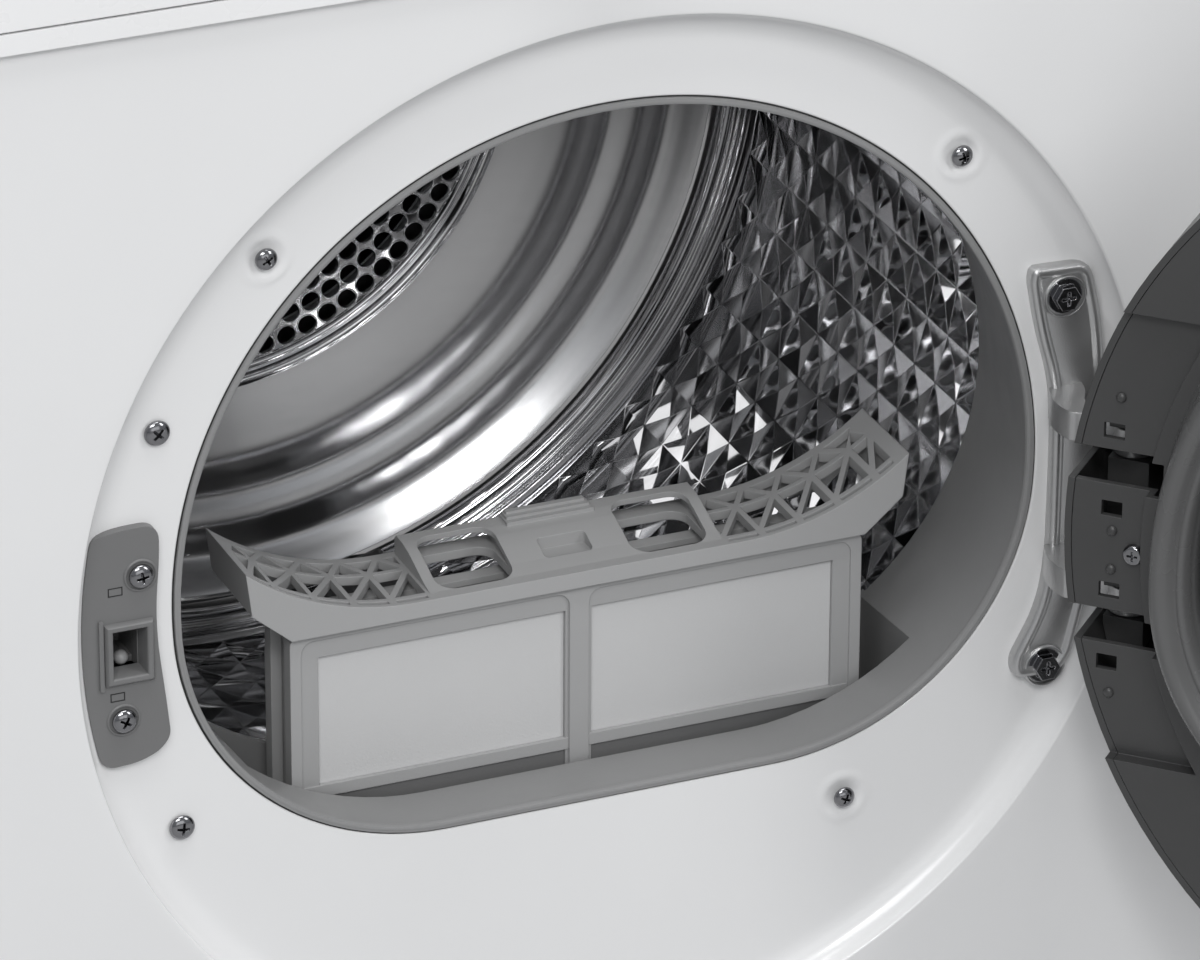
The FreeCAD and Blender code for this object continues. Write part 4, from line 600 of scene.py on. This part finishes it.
def latch():
    """The moulded plate, its raised square mouth with a tapered pocket, and the ball of the catch."""
    low, high = box_mm("latch_plate")
    catch_low, catch_high = box_mm("latch_catch")
    x, floor = (catch_low.x + catch_high.x) / 2, catch_low.z
    top, front = floor + MOUTH_HIGH, SEAT - PLATE_RISE

    def edge_x(z):
        rise = z - RECESS_Z
        return -math.sqrt((RECESS_R + 10.2) ** 2 - rise * rise)

    right = [(low.x + 10, high.z), (high.x - 3.4, high.z), (high.x - 3.6, floor + 50),
             (high.x - 5.4, floor + 30), (high.x - 4.9, floor + 12), (high.x - 2, floor - 12),
             (high.x, floor - 31),
             (high.x - 5, low.z + 3.5), (high.x - 14, low.z)]
    left_z = [low.z - 1, low.z + 16, low.z + 32, low.z + 50, low.z + 68, low.z + 84, high.z - 2]
    outline = right + [(edge_x(z), z) for z in left_z]
    radii = [9, 9, 12, 20, 20, 20, 9, 10, 10, 7] + [12] * 5 + [4]
    outline = rounded(outline, radii)
    mouth = [(x - MOUTH_HALF, floor), (x + MOUTH_HALF, floor), (x + MOUTH_HALF, top), (x - MOUTH_HALF, top)]
    slab("latch_plate_look", [outline, mouth], front, SEAT + 0.4, "latch_plastic", "cabinet", 1.3,
         stands_for=("latch_plate",))
    corners = ((x - MOUTH_HALF, floor), (x + MOUTH_HALF, top))
    rim = [(-0.4, front + 1), (-0.4, front - 2.0), (0.3, front - 2.7), (1.8, front - 2.7), (2.8, front - 1.4),
           (2.8, front + 1)]
    boxed_ring("latch_rim", *corners, rim, "latch_plastic", "cabinet")
    slot = SEAT + 2.9, SEAT + 10.1
    pocket = [(-0.3, front - 2.0), (-1.5, slot[0]), (1.0, slot[0]), (1.0, front - 1.5)]
    boxed_ring("latch_pocket", *corners, pocket, "latch_plastic", "cabinet")
    pocket = [(-1.8, slot[1]), (-2.2, SEAT + 24.5), (-8.0, SEAT + 24.5), (-8.0, SEAT + 25.5),
              (1.0, SEAT + 25.5), (1.0, slot[1])]
    boxed_ring("latch_pocket_end", *corners, pocket, "latch_plastic", "cabinet")
    walls = [(x - 8.8, floor - 1), (x - 6, floor - 1), (x - 6, top - 1.9), (x + 6, top - 1.9),
             (x + 6, floor - 1), (x + 8.8, floor - 1), (x + 8.8, top + 1), (x - 8.8, top + 1)]
    slab("latch_pocket_walls", [rounded(walls, [0.3] * 8)], *slot, "latch_plastic", "cabinet", 0.2)
    arc = [math.radians(a) for a in range(0, 181, 12)]
    profile = [(BALL_R * math.sin(a), SEAT + BALL_IN - BALL_R * math.cos(a)) for a in arc]
    points, faces = lathe(profile, x, floor + BALL_UP, 32, closed=False)
    ball = piece("latch_ball", points, faces, "latch_plastic", BODY_OF["latch_catch"], 60, ("latch_catch",))
    ball.data.materials[0] = LOOKS["filter_plastic"]
    ramp = [(x - 7, floor), (x + 7, floor), (x + 3.2, floor + 2.2), (x - 3.2, floor + 2.2)]
    slab("latch_ramp", [rounded(ramp, [0.5] * 4)], SEAT + 11, SEAT + 24, "latch_plastic", "cabinet", 0.4)
    a, b = x - 13.0, x - 11.0
    slab("latch_rib", [rounded([(a, floor - 5), (b, floor - 5), (b, top + 5), (a, top + 5)], [0.9] * 4)],
         front - 1.1, front + 1, "latch_plastic", "cabinet", 0.5)
    for z in (floor + 37.7, floor - 10.4):
        ring = [(0, front + 0.2), (0, front - 0.12), (0.45, front - 0.12), (0.45, front + 0.2)]
        boxed_ring("latch_mark_%d" % z, (x - 8.0, z), (x - 2.6, z + 3.0), ring, "black_rubber", "cabinet")
    for number, (a, b) in enumerate(parts_of("panel_screws")):
        if a.y < SEAT - 4.5:
            ring = [(6.0, front + 0.3), (6.25, front - 0.6), (6.7, front - 0.75), (7.2, front - 0.5),
                    (7.5, front + 0.3)]
            points, faces = lathe(ring, (a.x + b.x) / 2, (a.z + b.z) / 2, RING_STEPS)
            piece("latch_ring_%d" % number, points, faces, "latch_plastic", "cabinet", 60)


latch()
domed_screws("panel_screws", "panel_screw_heads", "cabinet", 0.5)


# ================================================================ hinge
ARM_FEET, ARM_HIGH = (19.0, -55.5), 13.0
KNUCKLE_R, KNUCKLE_BORE_R = 9.0, 4.4


def hinge():
    """The cast bracket with its rounded rim, bolt bosses and two gooseneck arms."""
    c = CENTRE_Z
    outline = [(188, 83), (192, 61), (199, 36.5), (201, 17), (201, -11), (200.6, -49), (197, -72),
               (184.5, -95), (186, -104), (207, -105), (213, -97), (222, -60), (225.5, -20), (226, 20),
               (222, 62), (216, 88), (189, 89)]
    radii = [8, 12, 10, 10, 10, 12, 12, 8, 6, 6, 10, 20, 20, 20, 20, 7, 7]
    outer = rounded([(x, c + z) for x, z in outline], radii)
    steps = [(0, SEAT - 0.1), (0, SEAT - 3.6), (0.3, SEAT - 4.7), (1.0, SEAT - 5.6), (2.0, SEAT - 6.0),
             (3.2, SEAT - 5.9), (4.2, SEAT - 5.3), (4.9, SEAT - 4.4), (5.4, SEAT - 4.1)]
    rimmed("hinge_plate", outer, steps, "cast_metal", "cabinet", 60, ("hinge_bracket",))
    for number, (low, high) in enumerate(parts_of("hinge_bolts")):
        x, z = (low.x + high.x) / 2, (low.z + high.z) / 2
        ring = [(8.5, SEAT - 3), (8.7, SEAT - 4.9), (9.1, SEAT - 5.4), (9.6, SEAT - 4.9), (10.0, SEAT - 3)]
        points, faces = lathe(ring, x, z, RING_STEPS)
        piece("bolt_boss_%d" % number, points, faces, "cast_metal", "cabinet", 60)
    profile = [(214, -3), (198.5, -3), (195, -14), (194.8, -22), (196.6, -29.5), (201, -31.6), (203.5, -36.5),
               (210, -43), (217.5, -49.5), (221, -43), (213.5, -36), (207.4, -29.5), (206.8, -20), (212, -12)]
    bends = [0.5, 3, 8, 5, 4, 2.5, 6, 4, 3, 3, 6, 6, 7, 6]
    line = rounded([(x, SEAT + y) for x, y in profile], bends)
    for number, foot in enumerate(ARM_FEET):
        low, high = c + foot, c + foot + ARM_HIGH
        slab("hinge_arm_%d" % number, [line], low, high, "cast_metal", "cabinet", 1.7, axis="z")
        turned = [(KNUCKLE_BORE_R, low), (KNUCKLE_R, low), (KNUCKLE_R, high), (KNUCKLE_BORE_R, high)]
        turns = [k * math.pi / 32 for k in range(RING_STEPS)]
        points = [(PIN_X + r * math.cos(turn), PIN_Y + r * math.sin(turn), z)
                  for turn in turns for r, z in turned]
        faces = []
        for k in range(RING_STEPS):
            a, b = k * 4, (k + 1) % RING_STEPS * 4
            faces += [(a + m, b + m, b + (m + 1) % 4, a + (m + 1) % 4) for m in range(4)]
        knuckle = piece("hinge_knuckle_%d" % number, points, faces, "cast_metal", "cabinet", 40)
        rounded_edges(knuckle, 0.8)


hinge()


# ================================================================ door
OPEN_COSINE = -math.sqrt(0.5)
FILLER_R, FILLER_INSET = 177.4, 3.0


def swung(point):
    """A place on the shut door, moved to where the door opened by 135 degrees has it."""
    dx, dy = point[0] - PIN_X, point[1] - PIN_Y
    c = OPEN_COSINE
    return (PIN_X + dx * c + dy * c, PIN_Y - dx * c + dy * c, point[2])


def door_surround():
    """The fat rounded surround of the window, which enters the opening when the door shuts."""
    section = [(2.4, SEAT - 10), (2.4, SEAT - 3.8), (4.6, SEAT - 1.2), (5.0, SEAT + 6), (6.1, SEAT + 14),
               (7.1, SEAT + 20), (8.6, SEAT + 24.2), (11, SEAT + 26.4), (13.8, SEAT + 26),
               (16.2, SEAT + 23.8), (17.8, SEAT + 20.8), (18.8, SEAT + 19.6), (19.8, SEAT + 20),
               (20.8, SEAT + 19.6), (22.2, SEAT + 17.4), (22.9, SEAT + 12), (23.2, SEAT + 9),
               (26.1, SEAT + 4), (26.1, SEAT - 4), (20, SEAT - 8)]
    sweep_outline("door_surround", section, "bezel_plastic", "door", stands_for=("door_bezel",), degrees=60,
                  place=swung)


def door_pips():
    """Four small moulded domes on the hinge side of the flange."""
    plane = SEAT - 16.5
    for number, (x, z) in enumerate(((214, 58), (216, -4), (216, -22), (215, -80))):
        points, faces = [], []
        rings = [(2.3, 0.2), (2.2, 0.7), (1.6, 1.3), (0.8, 1.6), (0.05, 1.7)]
        for step in range(24):
            turn = 2 * math.pi * step / 24
            points += [swung((x + r * math.cos(turn), plane + y, CENTRE_Z + z + r * math.sin(turn)))
                       for r, y in rings]
        for step in range(24):
            a, b = step * 5, (step + 1) % 24 * 5
            faces += [(a + k, b + k, b + k + 1, a + k + 1) for k in range(4)]
        faces.append(tuple(step * 5 + 4 for step in range(24)))
        piece("door_pip_%d" % number, points, faces, "charcoal_plastic", "door", 60)


def door_filler():
    """The plate that closes the door between the flat foot of the surround and the round frame."""
    turns = [math.radians(a) for a in range(180, 361)]
    turns = [a for a in turns if circle_reach(a, FILLER_R) > opening_reach(a, FILLER_INSET) + 0.6]
    edge = [(circle_reach(a, FILLER_R), a) for a in turns]
    edge += [(opening_reach(a, FILLER_INSET), a) for a in reversed(turns)]
    outline = [(r * math.cos(a), CENTRE_Z + r * math.sin(a)) for r, a in edge]
    thing = slab("door_filler", [outline], SEAT - 12.8, SEAT - 10.3, "charcoal_plastic", "door", 0.4)
    for vertex in thing.data.vertices:
        vertex.co = Vector(swung(vertex.co / MM)) * MM


door_surround()
door_filler()
door_pips()


# ================================================================ drum
CELL_ROWS, CELL_COLUMNS, CELL_LONG = 15, 72, 22.1
EMBOSS_END = DRUM_REAR - 17.2
EMBOSS_DEPTH, EMBOSS_PHASE = 1.2, math.radians(-7.5)
DRUM_STEPS, DISH_FROM_R = 288, 247.5
HOLE_ROWS, HOLE_PITCH, ROW_PITCH, FIRST_ROW_R = 8, 11.3, 10.2, 142.5


def drum_shell():
    """The embossed inside: four-sided pyramids pressed outwards, row behind row."""
    points, faces = [], []
    step = 2 * math.pi / CELL_COLUMNS
    start = EMBOSS_END - CELL_ROWS * CELL_LONG

    def at(r, turn, y):
        return (r * math.cos(turn), y, DRUM_Z + r * math.sin(turn))

    for row in range(CELL_ROWS + 1):
        for column in range(CELL_COLUMNS):
            points.append(at(DRUM_R, EMBOSS_PHASE + column * step, start + row * CELL_LONG))
    apexes = len(points)
    for row in range(CELL_ROWS):
        for column in range(CELL_COLUMNS):
            turn = EMBOSS_PHASE + (column + 0.5) * step
            points.append(at(DRUM_R + EMBOSS_DEPTH, turn, start + (row + 0.5) * CELL_LONG))
    for row in range(CELL_ROWS):
        for column in range(CELL_COLUMNS):
            n = (column + 1) % CELL_COLUMNS
            a, b = row * CELL_COLUMNS + column, row * CELL_COLUMNS + n
            c, d = (row + 1) * CELL_COLUMNS + n, (row + 1) * CELL_COLUMNS + column
            top = apexes + row * CELL_COLUMNS + column
            faces += [(a, b, top), (b, c, top), (c, d, top), (d, a, top)]
    thing = piece("drum_emboss", points, faces, "drum_steel", "drum", 1.0, ("drum_shell",), outward=False)
    # the emboss takes the darker copy of the drum's steel: painted shade in its reflections
    thing.data.materials[0] = SHADED_POLISHED_STEEL
    bevel = thing.modifiers.new("pressed", "BEVEL")
    bevel.width = 0.45 * MM
    bevel.segments = 2
    bevel.limit_method = "ANGLE"
    bevel.angle_limit = math.radians(0.5)
    bevel.harden_normals = True
    skin = [(DRUM_R, start), (DRUM_R, DRUM_FRONT + 6), (DRUM_R - 1, DRUM_FRONT + 3),
            (DRUM_R - 4, DRUM_FRONT + 1.5), (222.0, DRUM_FRONT + 1.5), (221.0, DRUM_FRONT + 0.8),
            (222.0, DRUM_FRONT), (DRUM_OUTER - 4, DRUM_FRONT), (DRUM_OUTER, DRUM_FRONT + 4),
            (DRUM_OUTER, DRUM_REAR), (DRUM_R, DRUM_REAR), (DRUM_R, DRUM_REAR - 4), (DRUM_R, EMBOSS_END)]
    points, faces = lathe(skin, 0, DRUM_Z, DRUM_STEPS, closed=False)
    piece("drum_skin", points, faces, "drum_steel", "drum", 30)


drum_shell()


def spline(points, steps):
    """A smooth line through (a, b) points."""
    line = []
    last = len(points) - 1
    for k in range(last):
        p0, p1 = points[max(0, k - 1)], points[k]
        p2, p3 = points[k + 1], points[min(last, k + 2)]
        for s in range(steps):
            t = s / steps
            line.append(tuple(0.5 * (2 * p1[i] + (p2[i] - p0[i]) * t
                                     + (2 * p0[i] - 5 * p1[i] + 4 * p2[i] - p3[i]) * t * t
                                     + (3 * p1[i] - p0[i] - 3 * p2[i] + p3[i]) * t ** 3) for i in (0, 1)))
    line.append(points[last])
    return line


def drum_back():
    """The rear wall: a bright rolled rim, then the satin dish with its two steps."""
    rear = DRUM_REAR
    shape = [(265.8, rear - 3), (264.6, rear - 0.6), (262.6, rear + 0.4), (261.4, rear + 3),
             (259.6, rear + 4.5), (257.8, rear + 3), (257.0, rear - 1.6), (255.5, rear - 3.2),
             (252.5, rear - 3.0), (248, rear - 1.2), (243, rear + 2.2), (237, rear + 6.6),
             (232, rear + 9.6), (226, rear + 10.8), (219, rear + 11.4), (213, rear + 13.6),
             (206, rear + 17.2), (200, rear + 18.2), (194, rear + 18.5), (188, rear + 19.4),
             (180, rear + 22.2), (170, rear + 26), (160, rear + 29.7), (153, rear + 32)]
    front = spline(shape, 5)
    split = max(k for k, (r, y) in enumerate(front) if r > DISH_FROM_R)
    halves = (("drum_rim", front[:split + 1], ()), ("drum_dish", front[split:], ("drum_back",)))
    for name, line, nodes in halves:
        profile = line + [(r, y + SHEET) for r, y in reversed(line)]
        points, faces = lathe(profile, 0, DRUM_Z, DRUM_STEPS)
        thing = piece(name, points, faces, "drum_steel", "drum", 60, nodes)
        if nodes:
            thing.data.materials[0] = SATIN_STEEL


drum_back()


def hub_trim():
    """The stepped rim of the perforated disc and the raised lip of every hole in it."""
    face = box_mm("drum_hub")[0].y
    rim = [(147.5, 0.4), (148.2, -1.6), (149.8, -2.4), (151.4, -1.8), (152.2, -1.2), (153.4, -3.6),
           (155.6, -4.6), (157.8, -3.8), (158.8, -1.2), (159.0, 0.4)]
    points, faces = lathe([(r, face + y) for r, y in rim], 0, DRUM_Z, 240)
    piece("hub_rim", points, faces, "drum_steel", "drum", 50)
    points, faces = [], []
    section = [(4.55, 0.9), (4.7, -0.25), (5.05, -0.5), (5.4, -0.25), (5.55, 0.05)]
    for row in range(HOLE_ROWS):
        ring = FIRST_ROW_R - row * ROW_PITCH
        count = round(2 * math.pi * ring / HOLE_PITCH)
        for step in range(count):
            turn = 2 * math.pi * (step + row % 2 * 0.5) / count
            lip, skin = lathe([(r, face + y) for r, y in section], ring * math.cos(turn),
                              DRUM_Z + ring * math.sin(turn), 20, closed=False)
            base = len(points)
            points += lip
            faces += [tuple(base + k for k in item) for item in skin]
    piece("hub_lips", points, faces, "drum_steel", "drum", 60, outward=False)


hub_trim()
softened("drum_lifters", 1.2, 3)


# ================================================================ pieces that keep the CAD shape
RAIL_DROP = 119.0
softened("filter_head", 0.45)
for node in ("filter_front_frame", "filter_rear_frame", "hinge_bolts", "door_inner_frame", "door_outer_ring"):
    softened(node, 0.6)


def filter_ribs():
    """The rail across the foot of the screens, and below it a darker plate that stands in for the shade under
    the rail: painted shade.
    """
    low, high = box_mm("filter_front_frame")
    screen = box_mm("filter_mesh")[0].y
    z, body = CENTRE_Z - RAIL_DROP, BODY_OF["filter_front_frame"]
    # the second piece is painted shade: a darker plate put where the strip below the rail lies in shade
    for name, rows, front, slot in (("filter_rail", (0.0, 5.5), low.y + 0.8, "filter_plastic"),
                                    ("filter_painted_shade_plate", (-14.0, 0.4), screen - 1.0, "latch_plastic")):
        outline = [(low.x + 5, z + rows[0]), (high.x - 5, z + rows[0]), (high.x - 5, z + rows[1]),
                   (low.x + 5, z + rows[1])]
        slab(name, [rounded(outline, [0.8] * 4)], front, screen - 0.2, slot, body, 0.3)


filter_ribs()


# ================================================================ everything else, just as the CAD has it
stood_for = {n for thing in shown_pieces() for n in thing.get("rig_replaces", [])}
for node, thing in frame["nodes"].items():
    if node not in stood_for:
        thing.data.materials.clear()
        thing.data.materials.append(LOOKS[SLOT_OF[node]])
# the door's hinge leaf, seen through the slots in the door's flange, is given the dark charcoal plastic so
# those slots look dark: painted shade
for node, name in (("hinge_bolts", "knob_metal"), ("door_hinge_leaf", "charcoal_plastic"),
                   ("filter_front_frame", "duct_plastic"), ("filter_rear_frame", "duct_plastic")):
    frame["nodes"][node].data.materials[0] = LOOKS[name]


# ================================================================ floor, light and camera
TILES, TILE = 12, 4.0
CAMERA_PLACE, CAMERA_AIM = Vector((-1.17218, -3.02590, 1.96680)), Vector((-0.00585, -0.288, 0.50514))
CAMERA_ROLL = 0.26
AIR_COLOUR, AIR_STRENGTH = (0.92, 0.95, 1.0, 1), 0.36


def studio():
    """A wide flat floor of square tiles, in metres, just under the feet."""
    floor = bpy.data.meshes.new("studio_floor")
    side = TILES + 1
    places = [TILE * (k - TILES / 2) for k in range(side)]
    points = [(x, y, -0.0005) for x in places for y in places]
    faces = [(a, a + side, a + side + 1, a + 1) for k in range(TILES)
             for a in range(k * side, k * side + TILES)]
    floor.from_pydata(points, [], faces)
    thing = bpy.data.objects.new("studio_floor", floor)
    bpy.context.scene.collection.objects.link(thing)
    thing.data.materials.append(look("floor_paint", grey(186), 0.55, mottle=0.02, wear=0.0))


def softbox(name, place, aim, wide, high, power):
    """A rectangular light, in metres and watts, that the camera doesn't see."""
    light = bpy.data.lights.new(name, "AREA")
    light.shape = "RECTANGLE"
    light.size, light.size_y = wide, high
    light.energy = power
    thing = bpy.data.objects.new(name, light)
    bpy.context.scene.collection.objects.link(thing)
    thing.location = place
    thing.rotation_mode = "QUATERNION"
    thing.rotation_quaternion = (Vector(aim) - Vector(place)).to_track_quat("-Z", "Y")
    thing.visible_camera = False
    return thing


def camera():
    """The photo's camera, as solved from it."""
    data = bpy.data.cameras.new("camera")
    data.sensor_width = 36.0
    data.lens = 240.0
    data.clip_start, data.clip_end = 0.1, 60.0
    thing = bpy.data.objects.new("camera", data)
    bpy.context.scene.collection.objects.link(thing)
    thing.location = CAMERA_PLACE
    thing.rotation_mode = "QUATERNION"
    level = (CAMERA_AIM - CAMERA_PLACE).to_track_quat("-Z", "Y")
    roll = Matrix.Rotation(math.radians(CAMERA_ROLL), 4, "Z").to_quaternion()
    thing.rotation_quaternion = level @ roll
    bpy.context.scene.camera = thing


studio()
world = bpy.data.worlds.new("studio_air")
world.use_nodes = True
air = world.node_tree.nodes["Background"]
air.inputs["Color"].default_value = AIR_COLOUR
air.inputs["Strength"].default_value = AIR_STRENGTH
bpy.context.scene.world = world
softbox("key_light", (-1.8, -3.0, 3.4), (0, -0.2, 0.8), 1.6, 1.6, 48)
softbox("spark_light", (-0.8, -2.9, 2.7), (0.1, 0.0, 0.6), 0.5, 0.5, 18)
softbox("fill_light", (2.4, -3.0, 2.8), (0, -0.2, 0.8), 1.0, 1.8, 40)
softbox("front_light", (-0.2, -4.2, 1.2), (0, -0.2, 0.6), 3.0, 1.4, 12)
softbox("drum_light_low", (0.0, -0.196, 0.385), (0.04, 0.17, 0.385), 0.26, 0.11, 0.025)
softbox("drum_light_high", (-0.06, -0.2, 0.56), (0.0, 0.17, 0.5), 0.2, 0.1, 0.04)
softbox("drum_spark", (0.152, 0.166, 0.338), (0.205, 0.1, 0.32), 0.026, 0.018, 0.0021)
softbox("top_light", (0.0, -0.8, 3.2), (0, 0, 0.5), 1.8, 1.0, 30)
camera()
bpy.context.scene.view_settings.view_transform = "Standard"
